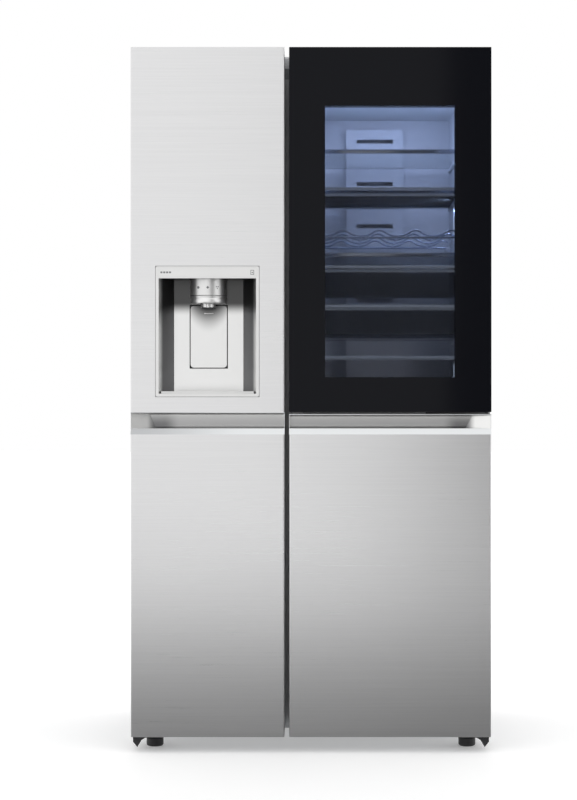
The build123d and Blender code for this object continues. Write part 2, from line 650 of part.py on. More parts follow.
with BuildPart() as freezer_handle:
    handle_groove(FREEZER_DOOR_X, GROOVE_TOP_Z, -1)
freezer_handle.part.label = "freezer_handle"
export_step(freezer_handle.part, "parts/freezer_handle.step")

BAND_Z = (MOUTH_Z[1] + 3.5, FRAME_Z[1] - 4.0)
BAND_HALF = FRAME_HALF - 6.0

with BuildPart() as dispenser_frame:
    block((DISPENSER_X - FRAME_HALF, FRONT_Y, FRAME_Z[0]), (DISPENSER_X + FRAME_HALF, SKIN_Y, FRAME_Z[1]))
    fillet(dispenser_frame.edges().filter_by(Axis.Y), 5)
    block((CUTOUT[0][0], SKIN_Y, CUTOUT[0][2]), (CUTOUT[1][0], CAVITY_Y[0], CUTOUT[1][2]))
    block((DISPENSER_X - MOUTH_HALF, FRONT_Y - 1, MOUTH_Z[0]),
          (DISPENSER_X + MOUTH_HALF, CAVITY_Y[0] + 1, MOUTH_Z[1]), Mode.SUBTRACT)
    block((DISPENSER_X - BAND_HALF, FRONT_Y - 1, BAND_Z[0]),
          (DISPENSER_X + BAND_HALF, FRONT_Y + 2, BAND_Z[1]), Mode.SUBTRACT)
dispenser_frame.part.label = "dispenser_frame"
export_step(dispenser_frame.part, "parts/dispenser_frame.step")

with BuildPart() as dispenser_display:
    block((DISPENSER_X - BAND_HALF + 0.2, FRONT_Y + 0.2, BAND_Z[0] + 0.2),
          (DISPENSER_X + BAND_HALF - 0.2, FRONT_Y + 2, BAND_Z[1] - 0.2))
dispenser_display.part.label = "dispenser_display"
export_step(dispenser_display.part, "parts/dispenser_display.step")

with BuildPart() as dispenser_cavity:
    cavity_outside()
    dispenser_prism(MOUTH_HALF, BACK_HALF, CAVITY_Y, MOUTH_Z, Mode.SUBTRACT)
    paddle_pocket(0, Mode.SUBTRACT)
dispenser_cavity.part.label = "dispenser_cavity"
export_step(dispenser_cavity.part, "parts/dispenser_cavity.step")

HEAD_Y = -302.0
HEAD_R = 47.0
HEAD_LOW_Z = 1158.0
RING_LOW_Z = 1140.0

with BuildPart() as dispenser_head:
    rod((DISPENSER_X, HEAD_Y, (HEAD_LOW_Z + MOUTH_Z[1]) / 2), HEAD_R, MOUTH_Z[1] - HEAD_LOW_Z)
    rod((DISPENSER_X, HEAD_Y, HEAD_LOW_Z - 1), HEAD_R - 3, 3)
    rod((DISPENSER_X, HEAD_Y, (HEAD_LOW_Z + RING_LOW_Z) / 2), HEAD_R - 1, HEAD_LOW_Z - RING_LOW_Z - 3)
    block((DISPENSER_X - 60, CAVITY_Y[1], 1100), (DISPENSER_X + 60, CAVITY_Y[1] + 80, 1210),
          Mode.SUBTRACT)
    rod((DISPENSER_X, HEAD_Y - 16, RING_LOW_Z), 19, 22)
    rod((DISPENSER_X, HEAD_Y - 16, RING_LOW_Z - 6), 15, 14, mode=Mode.SUBTRACT)
    rod((DISPENSER_X, HEAD_Y - 16, RING_LOW_Z), 5.5, 26)
dispenser_head.part.label = "dispenser_head"
export_step(dispenser_head.part, "parts/dispenser_head.step")

PADDLE_PIVOT = (CAVITY_Y[1] + 2.0, 1124.0)
PADDLE_T = 5.0
PADDLE_CORNER_R = 9.0
PADDLE_PIN_R = 2.4

with BuildPart() as dispenser_paddle:
    block((DISPENSER_X - PADDLE_HALF, CAVITY_Y[1] - 1, PADDLE_Z[0]),
          (DISPENSER_X + PADDLE_HALF, CAVITY_Y[1] + PADDLE_T - 1, PADDLE_Z[1]))
    fillet(dispenser_paddle.edges().filter_by(Axis.Y), PADDLE_CORNER_R)
    rod((DISPENSER_X, *PADDLE_PIVOT), PADDLE_PIN_R, 2 * PADDLE_HALF + 3, "X")
dispenser_paddle.part.label = "dispenser_paddle"
export_step(dispenser_paddle.part, "parts/dispenser_paddle.step")

with BuildPart() as drip_tray:
    tray_y = (CAVITY_Y[0] + 4, CAVITY_Y[1] - 4)
    dispenser_prism(MOUTH_HALF - 6, BACK_HALF - 1, tray_y, (MOUTH_Z[0], MOUTH_Z[0] + 6))
    with BuildSketch(Plane.XY.offset(MOUTH_Z[0] + 2)):
        with Locations((DISPENSER_X, sum(tray_y) / 2)):
            with GridLocations(9, 1, 17, 1):
                SlotOverall(44, 4.5, rotation=90)
    extrude(amount=10, mode=Mode.SUBTRACT)
drip_tray.part.label = "drip_tray"
export_step(drip_tray.part, "parts/drip_tray.step")

BIN_X = (-374.0, -140.0)
BIN_Y = (DOOR_BACK_Y, -153.0)
BIN_Z = (1290.0, 1560.0)
AUGER_Y = -207.0
AUGER_Z = 1334.0
AUGER_R = 38.0

with BuildPart() as ice_bin:
    open_tray(BIN_X, BIN_Y, BIN_Z, 3)
    rod(((BIN_X[0] + BIN_X[1]) / 2, AUGER_Y, AUGER_Z), AXLE_R + RUNNING, 260, "X", Mode.SUBTRACT)
    block((BIN_X[0], BIN_Y[0], BIN_Z[1]), (BIN_X[1], BIN_Y[0] + 60, BIN_Z[1] + 70))
ice_bin.part.label = "ice_bin"
export_step(ice_bin.part, "parts/ice_bin.step")

with BuildPart() as ice_auger:
    rod(((BIN_X[0] + BIN_X[1]) / 2, AUGER_Y, AUGER_Z), AXLE_R, BIN_X[1] - BIN_X[0], "X")
    for step in range(6):
        centre = (BIN_X[0] + 34 + step * 33, AUGER_Y, AUGER_Z)
        with Locations(Location(centre, (60 * step, 0, 0))):
            Box(5, 2 * AUGER_R, 9)
ice_auger.part.label = "ice_auger"
export_step(ice_auger.part, "parts/ice_auger.step")

with BuildPart() as freezer_door_baskets:
    basket_x = (FREEZER_DYKE_X[0] + 12, FREEZER_DYKE_X[1] - 12)
    for floor in (140, 360, 580, 800, 1020):
        open_tray(basket_x, (DOOR_BACK_Y, BASKET_BACK_Y), (floor, floor + 105), 2.5)
freezer_door_baskets.part.label = "freezer_door_baskets"
export_step(freezer_door_baskets.part, "parts/freezer_door_baskets.step")

# ---------------------------------------------------------------- fridge door

FRIDGE_DYKE_X = (-18.0, 386.0)
SLEEVE_BACK_Y = -200.0
PLATE_Z = (857.6, 861.6)             # the outer door's lower hinge plate
CEILING_Z = PLATE_Z[0] - CLEAR

with BuildPart() as fridge_door_panel:
    folded_skin(FRIDGE_DOOR_X, (DOOR_LOW_Z, LIP_LOW_Z))
fridge_door_panel.part.label = "fridge_door_panel"
export_step(fridge_door_panel.part, "parts/fridge_door_panel.step")

with BuildPart() as fridge_door_body:
    inner_x = (FRIDGE_DOOR_X[0] + SHEET, FRIDGE_DOOR_X[1] - SHEET)
    rounded_front(inner_x, (SKIN_Y + SHEET, LINER_Y), (DOOR_LOW_Z + CAP_H, LIP_LOW_Z - 10),
                  CORNER_R - SHEET)
    block((inner_x[0], SKIN_Y + 34, LIP_LOW_Z - 10), (inner_x[1], LINER_Y, GROOVE_TOP_Z))
    block((FRIDGE_DOOR_X[0], INNER_Y, GROOVE_TOP_Z),
          (FRIDGE_DOOR_X[1], LINER_Y, INNER_TOP_Z - CAP_H))
    block((PANTRY_X[0] - 2.5, INNER_Y - 5, PANTRY_Z[0] - 2.5),
          (PANTRY_X[1] + 2.5, LINER_Y + 5, PANTRY_Z[1] + 2.5), Mode.SUBTRACT)
    rod((HINGE_X, HINGE_Y, 0), LOW_PIN_R + 2, 130, mode=Mode.SUBTRACT)
    rod((HINGE_X, HINGE_Y, DOOR_TOP_Z), TOP_PIN_R + 2, 60, mode=Mode.SUBTRACT)
fridge_door_body.part.label = "fridge_door_body"
export_step(fridge_door_body.part, "parts/fridge_door_body.step")

with BuildPart() as fridge_door_liner:
    block((FRIDGE_DOOR_X[0], LINER_Y, DOOR_LOW_Z), (FRIDGE_DOOR_X[1], DOOR_BACK_Y, INNER_TOP_Z))
    dyke(FRIDGE_DYKE_X, DYKE_Z, DYKE_BACK_Y)
    block((PANTRY_X[0] - 2.5, INNER_Y, PANTRY_Z[0] - 2.5),
          (PANTRY_X[1] + 2.5, SLEEVE_BACK_Y, PANTRY_Z[1] + 2.5))
    block((PANTRY_X[0], INNER_Y - 1, PANTRY_Z[0]), (PANTRY_X[1], SLEEVE_BACK_Y + 1, PANTRY_Z[1]),
          Mode.SUBTRACT)
fridge_door_liner.part.label = "fridge_door_liner"
export_step(fridge_door_liner.part, "parts/fridge_door_liner.step")

with BuildPart() as fridge_door_gasket:
    ring((-50.0, SIDE_X - FLANGE), GASKET_Y, GASKET_Z, GASKET_W)
fridge_door_gasket.part.label = "fridge_door_gasket"
export_step(fridge_door_gasket.part, "parts/fridge_door_gasket.step")

with BuildPart() as fridge_door_caps:
    rounded_front(inner_x, (SKIN_Y + SHEET, LINER_Y), (DOOR_LOW_Z, DOOR_LOW_Z + CAP_H),
                  CORNER_R - SHEET)
    block((FRIDGE_DOOR_X[0], INNER_Y, INNER_TOP_Z - CAP_H), (FRIDGE_DOOR_X[1], LINER_Y, INNER_TOP_Z))
    rod((HINGE_X, HINGE_Y, DOOR_LOW_Z), LOW_PIN_R + PIN_HOLE, 30, mode=Mode.SUBTRACT)
    rod((HINGE_X, HINGE_Y, DOOR_TOP_Z), TOP_PIN_R + PIN_HOLE, 40, mode=Mode.SUBTRACT)
fridge_door_caps.part.label = "fridge_door_caps"
export_step(fridge_door_caps.part, "parts/fridge_door_caps.step")

with BuildPart() as fridge_handle:
    handle_groove(FRIDGE_DOOR_X, CEILING_Z, 1)
fridge_handle.part.label = "fridge_handle"
export_step(fridge_handle.part, "parts/fridge_handle.step")

with BuildPart() as fridge_door_baskets:
    basket_x = (FRIDGE_DYKE_X[0] + 12, FRIDGE_DYKE_X[1] - 12)
    for floor in (140, 380, 620):
        open_tray(basket_x, (DOOR_BACK_Y, BASKET_BACK_Y), (floor, floor + 105), 2.5)
    for floor, height in ((915, 90), (1055, 80), (1160, 75), (1395, 40)):
        open_tray(PANTRY_X, (INNER_Y + 3, -158), (floor, floor + height), 2.5)
fridge_door_baskets.part.label = "fridge_door_baskets"
export_step(fridge_door_baskets.part, "parts/fridge_door_baskets.step")

# ---------------------------------------------------------------- outer door of the door in door

OUTER_FRAME_Z = (866.0, 1779.4)
OUTER_FRAME_Y = (OUTER_Y[0] + GLASS_T, OUTER_Y[1])
PLATE_PIN_R = 3.5
PLATE_PIN_L = 20.0
PANE_OVERLAP = 20.0                  # how far the inner pane reaches past the window
PANE_SEAT = 6.0                      # how deep its seat is in the frame
BUTTON_X = (-50.8, -17.7)
BUTTON_Y = (-361.0, -346.0)
BUTTON_STEM_X = (-44.0, -24.0)
BUTTON_STEM_Y = (-358.0, -350.0)

with BuildPart() as outer_door_glass:
    block((FRIDGE_DOOR_X[0], OUTER_Y[0], OUTER_Z[0]), (FRIDGE_DOOR_X[1], OUTER_Y[0] + GLASS_T, OUTER_Z[1]))
    fillet(outer_door_glass.edges().filter_by(Axis.Y), 2)
    block((WINDOW_X[0] - PANE_OVERLAP, OUTER_Y[1] - PANE_SEAT, WINDOW_Z[0] - PANE_OVERLAP),
          (WINDOW_X[1] + PANE_OVERLAP, OUTER_Y[1] - 2, WINDOW_Z[1] + PANE_OVERLAP))
outer_door_glass.part.label = "outer_door_glass"
export_step(outer_door_glass.part, "parts/outer_door_glass.step")

with BuildPart() as outer_door_frame:
    block((FRIDGE_DOOR_X[0] + 1, OUTER_FRAME_Y[0], OUTER_FRAME_Z[0]),
          (FRIDGE_DOOR_X[1] - 1, OUTER_FRAME_Y[1], OUTER_FRAME_Z[1]))
    block((WINDOW_X[0] - 8, OUTER_Y[0], WINDOW_Z[0] - 8),
          (WINDOW_X[1] + 8, OUTER_Y[1] + 1, WINDOW_Z[1] + 8), Mode.SUBTRACT)
    block((WINDOW_X[0] - PANE_OVERLAP, OUTER_Y[1] - PANE_SEAT, WINDOW_Z[0] - PANE_OVERLAP),
          (WINDOW_X[1] + PANE_OVERLAP, OUTER_Y[1] + 1, WINDOW_Z[1] + PANE_OVERLAP), Mode.SUBTRACT)
    for height in OUTER_FRAME_Z:
        rod((*OUTER_PIVOT, height), PLATE_PIN_R + PIN_HOLE, 44, mode=Mode.SUBTRACT)
    block((BUTTON_STEM_X[0] - CLEAR, BUTTON_STEM_Y[0] - CLEAR, OUTER_FRAME_Z[0] - 1),
          (BUTTON_STEM_X[1] + CLEAR, BUTTON_STEM_Y[1] + CLEAR, OUTER_FRAME_Z[0] + 18), Mode.SUBTRACT)
outer_door_frame.part.label = "outer_door_frame"
export_step(outer_door_frame.part, "parts/outer_door_frame.step")

with BuildPart() as outer_door_gasket:
    ring((2.0, 424.0), (OUTER_Y[1], INNER_Y - CLEAR), (888.0, 1740.0), 14.0)
outer_door_gasket.part.label = "outer_door_gasket"
export_step(outer_door_gasket.part, "parts/outer_door_gasket.step")

with BuildPart() as release_button:
    block((BUTTON_X[0], BUTTON_Y[0], PLATE_Z[0] + 0.4), (BUTTON_X[1], BUTTON_Y[1], PLATE_Z[1]))
    fillet(release_button.edges().filter_by(Axis.Z), 3)
    block((BUTTON_STEM_X[0], BUTTON_STEM_Y[0], PLATE_Z[1]),
          (BUTTON_STEM_X[1], BUTTON_STEM_Y[1], OUTER_FRAME_Z[0] + 12))
release_button.part.label = "release_button"
export_step(release_button.part, "parts/release_button.step")

UPPER_PLATE = ((430.0, -360.5, INNER_TOP_Z), (448.5, -320.0, INNER_TOP_Z + 3))
LOWER_PLATE = [(292, SKIN_Y + 34), (440, -362), (448.5, -362), (452, SKIN_Y + 34)]

with BuildPart() as outer_door_hinges:
    block(*UPPER_PLATE)
    rod((*OUTER_PIVOT, INNER_TOP_Z - PLATE_PIN_L / 2), PLATE_PIN_R, PLATE_PIN_L)
    with BuildSketch(Plane.XY.offset(PLATE_Z[0])):
        with BuildLine():
            Polyline(*LOWER_PLATE, close=True)
        make_face()
    extrude(amount=PLATE_Z[1] - PLATE_Z[0])
    rod((*OUTER_PIVOT, PLATE_Z[1] + PLATE_PIN_L / 2), PLATE_PIN_R, PLATE_PIN_L)
outer_door_hinges.part.label = "outer_door_hinges"
export_step(outer_door_hinges.part, "parts/outer_door_hinges.step")
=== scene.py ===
"""Looks of a side by side refrigerator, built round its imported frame.

Metres, in the frame's own axes: +Z up, -Y towards the person at the doors.
"""

import json
import logging
import math
from dataclasses import dataclass, field
from enum import Enum
from typing import Any, Iterable, Sequence

import bmesh
import bpy
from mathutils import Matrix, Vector

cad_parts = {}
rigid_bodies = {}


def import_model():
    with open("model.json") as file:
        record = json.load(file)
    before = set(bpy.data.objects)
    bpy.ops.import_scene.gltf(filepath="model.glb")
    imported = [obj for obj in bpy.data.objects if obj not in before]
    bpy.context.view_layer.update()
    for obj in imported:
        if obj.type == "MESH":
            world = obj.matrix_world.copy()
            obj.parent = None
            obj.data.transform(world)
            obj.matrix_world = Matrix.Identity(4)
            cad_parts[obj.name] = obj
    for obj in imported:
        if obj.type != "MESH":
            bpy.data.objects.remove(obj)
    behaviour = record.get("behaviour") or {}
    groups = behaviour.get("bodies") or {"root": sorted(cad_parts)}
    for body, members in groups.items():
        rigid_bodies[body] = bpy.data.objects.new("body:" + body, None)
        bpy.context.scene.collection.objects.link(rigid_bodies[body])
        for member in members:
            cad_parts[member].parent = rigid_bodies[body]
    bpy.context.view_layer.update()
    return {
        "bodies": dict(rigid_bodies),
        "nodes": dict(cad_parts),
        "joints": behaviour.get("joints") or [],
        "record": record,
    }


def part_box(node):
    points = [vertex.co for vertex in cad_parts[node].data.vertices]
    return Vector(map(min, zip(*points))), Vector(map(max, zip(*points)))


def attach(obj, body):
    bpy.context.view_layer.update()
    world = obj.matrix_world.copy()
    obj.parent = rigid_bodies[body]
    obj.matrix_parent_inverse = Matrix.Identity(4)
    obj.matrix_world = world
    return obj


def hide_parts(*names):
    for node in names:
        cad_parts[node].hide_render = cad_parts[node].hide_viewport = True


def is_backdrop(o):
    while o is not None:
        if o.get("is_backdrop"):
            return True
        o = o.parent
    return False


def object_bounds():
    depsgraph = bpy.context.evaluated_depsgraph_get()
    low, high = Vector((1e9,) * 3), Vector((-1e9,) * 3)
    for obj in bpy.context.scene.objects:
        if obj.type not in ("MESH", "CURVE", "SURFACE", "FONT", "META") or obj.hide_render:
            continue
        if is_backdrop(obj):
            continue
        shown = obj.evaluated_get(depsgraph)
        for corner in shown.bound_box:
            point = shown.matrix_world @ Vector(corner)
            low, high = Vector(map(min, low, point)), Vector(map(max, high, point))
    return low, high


LOG = logging.getLogger("refrigerator")
Point = tuple[float, float, float]
Colour = tuple[float, float, float]


# ---------------------------------------------------------------- shader expressions


class Signal:
    """A shader socket that takes part in arithmetic."""

    def __init__(self, graph: "Graph", socket: bpy.types.NodeSocket) -> None:
        """Keeps the socket and the graph that its Math nodes go to."""
        self.graph = graph
        self.socket = socket

    def _math(self, operation: str, first: Any, second: Any = None) -> "Signal":
        """Adds one Math node.

        Args:
            operation: Blender's name of the operation.
            first: the first value or signal.
            second: the second value or signal, if the operation has one.

        Returns:
            The node's result.
        """
        sockets = {0: first} if second is None else {0: first, 1: second}
        return self.graph.node("ShaderNodeMath", {"operation": operation}, sockets)

    def __add__(self, other: Any) -> "Signal":
        """self + other."""
        return self._math("ADD", self, other)

    def __radd__(self, other: Any) -> "Signal":
        """other + self."""
        return self._math("ADD", other, self)

    def __sub__(self, other: Any) -> "Signal":
        """self - other."""
        return self._math("SUBTRACT", self, other)

    def __rsub__(self, other: Any) -> "Signal":
        """other - self."""
        return self._math("SUBTRACT", other, self)

    def __mul__(self, other: Any) -> "Signal":
        """self * other."""
        return self._math("MULTIPLY", self, other)

    def __gt__(self, other: Any) -> "Signal":
        """1 where self is above other, else 0."""
        return self._math("GREATER_THAN", self, other)

    def __lt__(self, other: Any) -> "Signal":
        """1 where self is below other, else 0."""
        return self._math("LESS_THAN", self, other)

    def wave(self) -> "Signal":
        """The sine of self."""
        return self._math("SINE", self)

    def __abs__(self) -> "Signal":
        """The size of self without its sign."""
        return self._math("ABSOLUTE", self)


class Graph:
    """One material's node tree, made from values and signals."""

    def __init__(self, name: str) -> None:
        """Starts a material with nothing but its output node."""
        self.material = bpy.data.materials.new(name)
        self.material.use_nodes = True
        self.tree = self.material.node_tree
        self.tree.nodes.clear()
        self.output = self.tree.nodes.new("ShaderNodeOutputMaterial")

    def node(self, kind: str, settings: dict[str, Any], sockets: dict[Any, Any],
             out: Any = 0) -> Signal:
        """Adds any node.

        Args:
            kind: the node's type.
            settings: its attributes, set before its sockets.
            sockets: input name or number to a value or a signal.
            out: name or number of the output to return.

        Returns:
            The chosen output as a signal.
        """
        made = self.tree.nodes.new(kind)
        for key, value in settings.items():
            setattr(made, key, value)
        for key, value in sockets.items():
            if isinstance(value, Signal):
                self.tree.links.new(value.socket, made.inputs[key])
            else:
                made.inputs[key].default_value = value
        return Signal(self, made.outputs[out])

    def place(self, stretch: Point = (1.0, 1.0, 1.0)) -> Signal:
        """Object coordinates, each axis multiplied by a stretch."""
        where = self.node("ShaderNodeTexCoord", {}, {}, "Object")
        return self.node("ShaderNodeMapping", {}, {"Vector": where, "Scale": stretch})

    def axes(self) -> tuple[Signal, Signal, Signal]:
        """Object coordinates as three numbers."""
        where = self.node("ShaderNodeTexCoord", {}, {}, "Object")
        x = self.node("ShaderNodeSeparateXYZ", {}, {0: where}, 0)
        parts = x.socket.node.outputs
        return x, Signal(self, parts[1]), Signal(self, parts[2])

    def noise(self, stretch: Point, detail: float = 2.0, rough: float = 0.5) -> Signal:
        """Noise from 0 to 1 on stretched object coordinates."""
        return self.node("ShaderNodeTexNoise", {"noise_dimensions": "3D"},
                         {"Vector": self.place(stretch), "Scale": 1.0, "Detail": detail,
                          "Roughness": rough}, 0)

    def rise(self, value: Signal, start: float, end: float) -> Signal:
        """A smooth step from 0 at start to 1 at end."""
        return self.node("ShaderNodeMapRange", {"interpolation_type": "SMOOTHSTEP"},
                         {"Value": value, "From Min": start, "From Max": end})

    def band(self, value: Signal, low: float, high: float) -> Signal:
        """1 where value lies between two limits, else 0."""
        return (value > low) * (value < high)

    def blend(self, factor: Any, first: Any, second: Any) -> Signal:
        """A colour between two colours or signals."""
        pick = {"data_type": "RGBA"}
        return self.node("ShaderNodeMix", pick, {0: factor, 6: first, 7: second}, 2)

    def bump(self, height: Signal, distance: float, strength: float = 1.0) -> Signal:
        """A normal bent by a height in metres times distance."""
        return self.node("ShaderNodeBump", {},
                         {"Height": height, "Distance": distance, "Strength": strength})

    def surface(self, sockets: dict[str, Any]) -> bpy.types.Material:
        """Closes the tree with one Principled shader and returns the material."""
        shader = self.node("ShaderNodeBsdfPrincipled", {}, sockets)
        self.tree.links.new(shader.socket, self.output.inputs["Surface"])
        return self.material


def rgba(colour: Colour) -> tuple[float, float, float, float]:
    """An opaque colour."""
    return (*colour, 1.0)


# ---------------------------------------------------------------- finishes


@dataclass(frozen=True)
class BrushedSteel:
    """Stainless sheet brushed from side to side."""

    name: str = "brushed_steel"
    tone: Colour = (0.75, 0.75, 0.755)
    roughness: float = 0.30
    streak: float = 0.055

    def material(self) -> bpy.types.Material:
        """Fine and coarse streaks along X vary colour, roughness and height."""
        graph = Graph(self.name)
        fine = graph.noise((7.0, 60.0, 1500.0), 3.0, 0.65)
        broad = graph.noise((2.2, 20.0, 260.0), 2.0, 0.6)
        cloud = graph.noise((1.6, 1.6, 2.4), 2.0)
        grain = fine * 0.6 + broad * 0.4
        shade = graph.blend(grain, rgba(tuple(c * (1 - self.streak * 2) for c in self.tone)),
                            rgba(tuple(min(1.0, c * (1 + self.streak * 2)) for c in self.tone)))
        rough = self.roughness + (grain - 0.5) * 0.16 + (cloud - 0.5) * 0.05
        return graph.surface({
            "Base Color": shade, "Metallic": 1.0, "Roughness": rough,
            "Normal": graph.bump(grain, 0.00012, 0.35)})


@dataclass(frozen=True)
class GrooveSteel:
    """The handle groove, painted with light and shade: a bright lip, a shaded bottom and a lit ramp.
    """

    name: str = "groove_steel"
    lip_back: float = -0.3572
    ramp_fade: float = -0.3440
    bottom: float = -0.3365
    ramp_end: float = 0.374
    painted_shadow_end: float = 0.332
    lip_x: tuple[float, float] = (-0.46, -0.14)
    # painted light and shade: the lip grades from painted shade at the left to a painted highlight,
    # the ramp is lit, the bottom shaded
    lip_painted_shade: Colour = (0.55, 0.56, 0.57)
    lip_painted_highlight: Colour = (0.84, 0.86, 0.87)
    ramp_painted_light: Colour = (0.94, 0.94, 0.93)
    bottom_painted_shade: Colour = (0.56, 0.56, 0.56)
    painted_shadow_tone: Colour = (0.25, 0.25, 0.255)

    def material(self) -> bpy.types.Material:
        """Depth picks the painted shade; the lip's painted highlight dims leftwards; a painted
        shadow lies beside the ramp.
        """
        graph = Graph(self.name)
        x, y, _ = graph.axes()
        fine = graph.noise((7.0, 60.0, 1500.0), 3.0, 0.65)
        # painted shadow on the groove's bottom next to the ramp's end
        beside = graph.rise(abs(x), self.painted_shadow_end, self.ramp_end)
        bottom = graph.blend(beside, rgba(self.bottom_painted_shade), rgba(self.painted_shadow_tone))
        inner = graph.blend(graph.rise(y, self.ramp_fade, self.bottom), rgba(self.ramp_painted_light), bottom)
        # painted highlight on the lip, darker towards the left end
        lip = graph.blend(graph.rise(x, *self.lip_x), rgba(self.lip_painted_shade), rgba(self.lip_painted_highlight))
        shade = graph.blend(y < self.lip_back, inner, lip)
        return graph.surface({
            "Base Color": shade, "Metallic": 1.0, "Roughness": 0.30 + fine * 0.12,
            "Normal": graph.bump(fine, 0.0001, 0.3)})


@dataclass(frozen=True)
class RecessSteel:
    """The dispenser's polished recess, with painted dark reflections on its flanks and a painted
    shadow at the top under the head.
    """

    middle: float
    name: str = "recess_steel"
    flank: float = 0.0887
    mouth: tuple[float, float] = (0.113, 0.1228)
    top: tuple[float, float] = (1.108, 1.143)
    floor: tuple[float, float] = (0.93, 1.19)
    back_tone: Colour = (0.83, 0.83, 0.825)
    # painted reflection on the flanks and painted shadow under the head
    low_flank_painted_shade: Colour = (0.15, 0.15, 0.155)
    painted_shade_tone: Colour = (0.085, 0.085, 0.087)
    head_shadow: Colour = (0.078, 0.078, 0.078)

    def material(self) -> bpy.types.Material:
        """Place across the recess picks flank or back, and height darkens both: painted reflection
        and painted shade.
        """
        graph = Graph(self.name)
        x, _, z = graph.axes()
        fine = graph.noise((7.0, 60.0, 1500.0), 3.0, 0.65)
        aside = abs(x - self.middle)
        # painted dark reflection on the flanks, darker higher up
        flank = graph.blend(graph.rise(z, *self.floor), rgba(self.low_flank_painted_shade),
                            rgba(self.painted_shade_tone))
        # the flanks' painted reflection lightens towards their front edge
        flank = graph.blend(graph.rise(aside, *self.mouth), flank, rgba(self.back_tone))
        # painted shadow at the top of the back, under the head
        back = graph.blend(graph.rise(z, *self.top), rgba(self.back_tone), rgba(self.head_shadow))
        shade = graph.blend(aside > self.flank, back, flank)
        return graph.surface({
            "Base Color": shade, "Metallic": 1.0, "Roughness": 0.26 + fine * 0.1,
            "Normal": graph.bump(fine, 0.0001, 0.25)})


@dataclass(frozen=True)
class PaddleSteel:
    """The paddle's steel, with painted shade under the spout."""

    middle: float
    name: str = "paddle_steel"
    shade_z: tuple[float, float] = (1.062, 1.132)
    spread: float = 14.0
    light_tone: Colour = (0.82, 0.82, 0.815)
    painted_shade_tone: Colour = (0.08, 0.08, 0.08)

    def material(self) -> bpy.types.Material:
        """The painted shade is widest in the middle, below the spout."""
        graph = Graph(self.name)
        x, _, z = graph.axes()
        fine = graph.noise((7.0, 60.0, 1500.0), 3.0, 0.65)
        aside = x - self.middle
        # painted shade under the spout, widest in the middle
        below = graph.rise(z - aside * aside * self.spread, *self.shade_z)
        shade = graph.blend(below, rgba(self.light_tone), rgba(self.painted_shade_tone))
        return graph.surface({
            "Base Color": shade, "Metallic": 1.0, "Roughness": 0.26 + fine * 0.1,
            "Normal": graph.bump(fine, 0.0001, 0.25)})


@dataclass(frozen=True)
class Moulded:
    """Moulded plastic or rubber: a fine texture over slow colour change."""

    name: str
    tone: Colour
    roughness: float = 0.45
    grain: float = 900.0
    depth: float = 0.00004
    sheen: float = 0.0
    coat: float = 0.0
    metallic: float = 0.0

    def material(self) -> bpy.types.Material:
        """Speckled texture in the bump, slow clouds in colour and roughness."""
        graph = Graph(self.name)
        texture = graph.noise((self.grain,) * 3, 2.0, 0.6)
        cloud = graph.noise((5.0, 5.0, 5.0), 3.0)
        dark = tuple(c * 0.93 for c in self.tone)
        light = tuple(min(1.0, c * 1.05) for c in self.tone)
        return graph.surface({
            "Base Color": graph.blend(cloud, rgba(dark), rgba(light)),
            "Metallic": self.metallic,
            "Roughness": self.roughness + (cloud - 0.5) * 0.1 + (texture - 0.5) * 0.06,
            "Sheen Weight": self.sheen, "Coat Weight": self.coat, "Coat Roughness": 0.08,
            "Normal": graph.bump(texture, self.depth, 0.5)})


@dataclass(frozen=True)
class PaintedSheet:
    """Prepainted steel sheet with a faint orange peel and a slow change of tone."""

    name: str
    tone: Colour
    roughness: float = 0.42
    metallic: float = 0.25

    def material(self) -> bpy.types.Material:
        """Orange peel in the bump and a slow change of roughness."""
        graph = Graph(self.name)
        peel = graph.noise((420.0, 420.0, 420.0), 2.0)
        cloud = graph.noise((2.5, 2.5, 2.5), 3.0)
        shade = graph.blend(cloud, rgba(tuple(c * 0.95 for c in self.tone)),
                            rgba(tuple(min(1.0, c * 1.04) for c in self.tone)))
        return graph.surface({
            "Base Color": shade, "Metallic": self.metallic,
            "Roughness": self.roughness + (cloud - 0.5) * 0.12,
            "Normal": graph.bump(peel, 0.00006, 0.3)})


@dataclass(frozen=True)
class GalvanisedSheet:
    """Bare zinc sheet with its spangle."""

    name: str = "galvanised_sheet"
    tone: Colour = (0.56, 0.57, 0.58)

    def material(self) -> bpy.types.Material:
        """Voronoi cells vary the colour and roughness as zinc crystals do."""
        graph = Graph(self.name)
        cells = graph.node("ShaderNodeTexVoronoi", {"feature": "F1"},
                           {"Vector": graph.place((110.0, 110.0, 110.0)), "Scale": 1.0}, "Color")
        level = graph.node("ShaderNodeSeparateColor", {}, {0: cells}, 0)
        shade = graph.blend(level, rgba(tuple(c * 0.94 for c in self.tone)),
                            rgba(tuple(c * 1.04 for c in self.tone)))
        return graph.surface({
            "Base Color": shade, "Metallic": 0.85, "Roughness": 0.40 + level * 0.08})


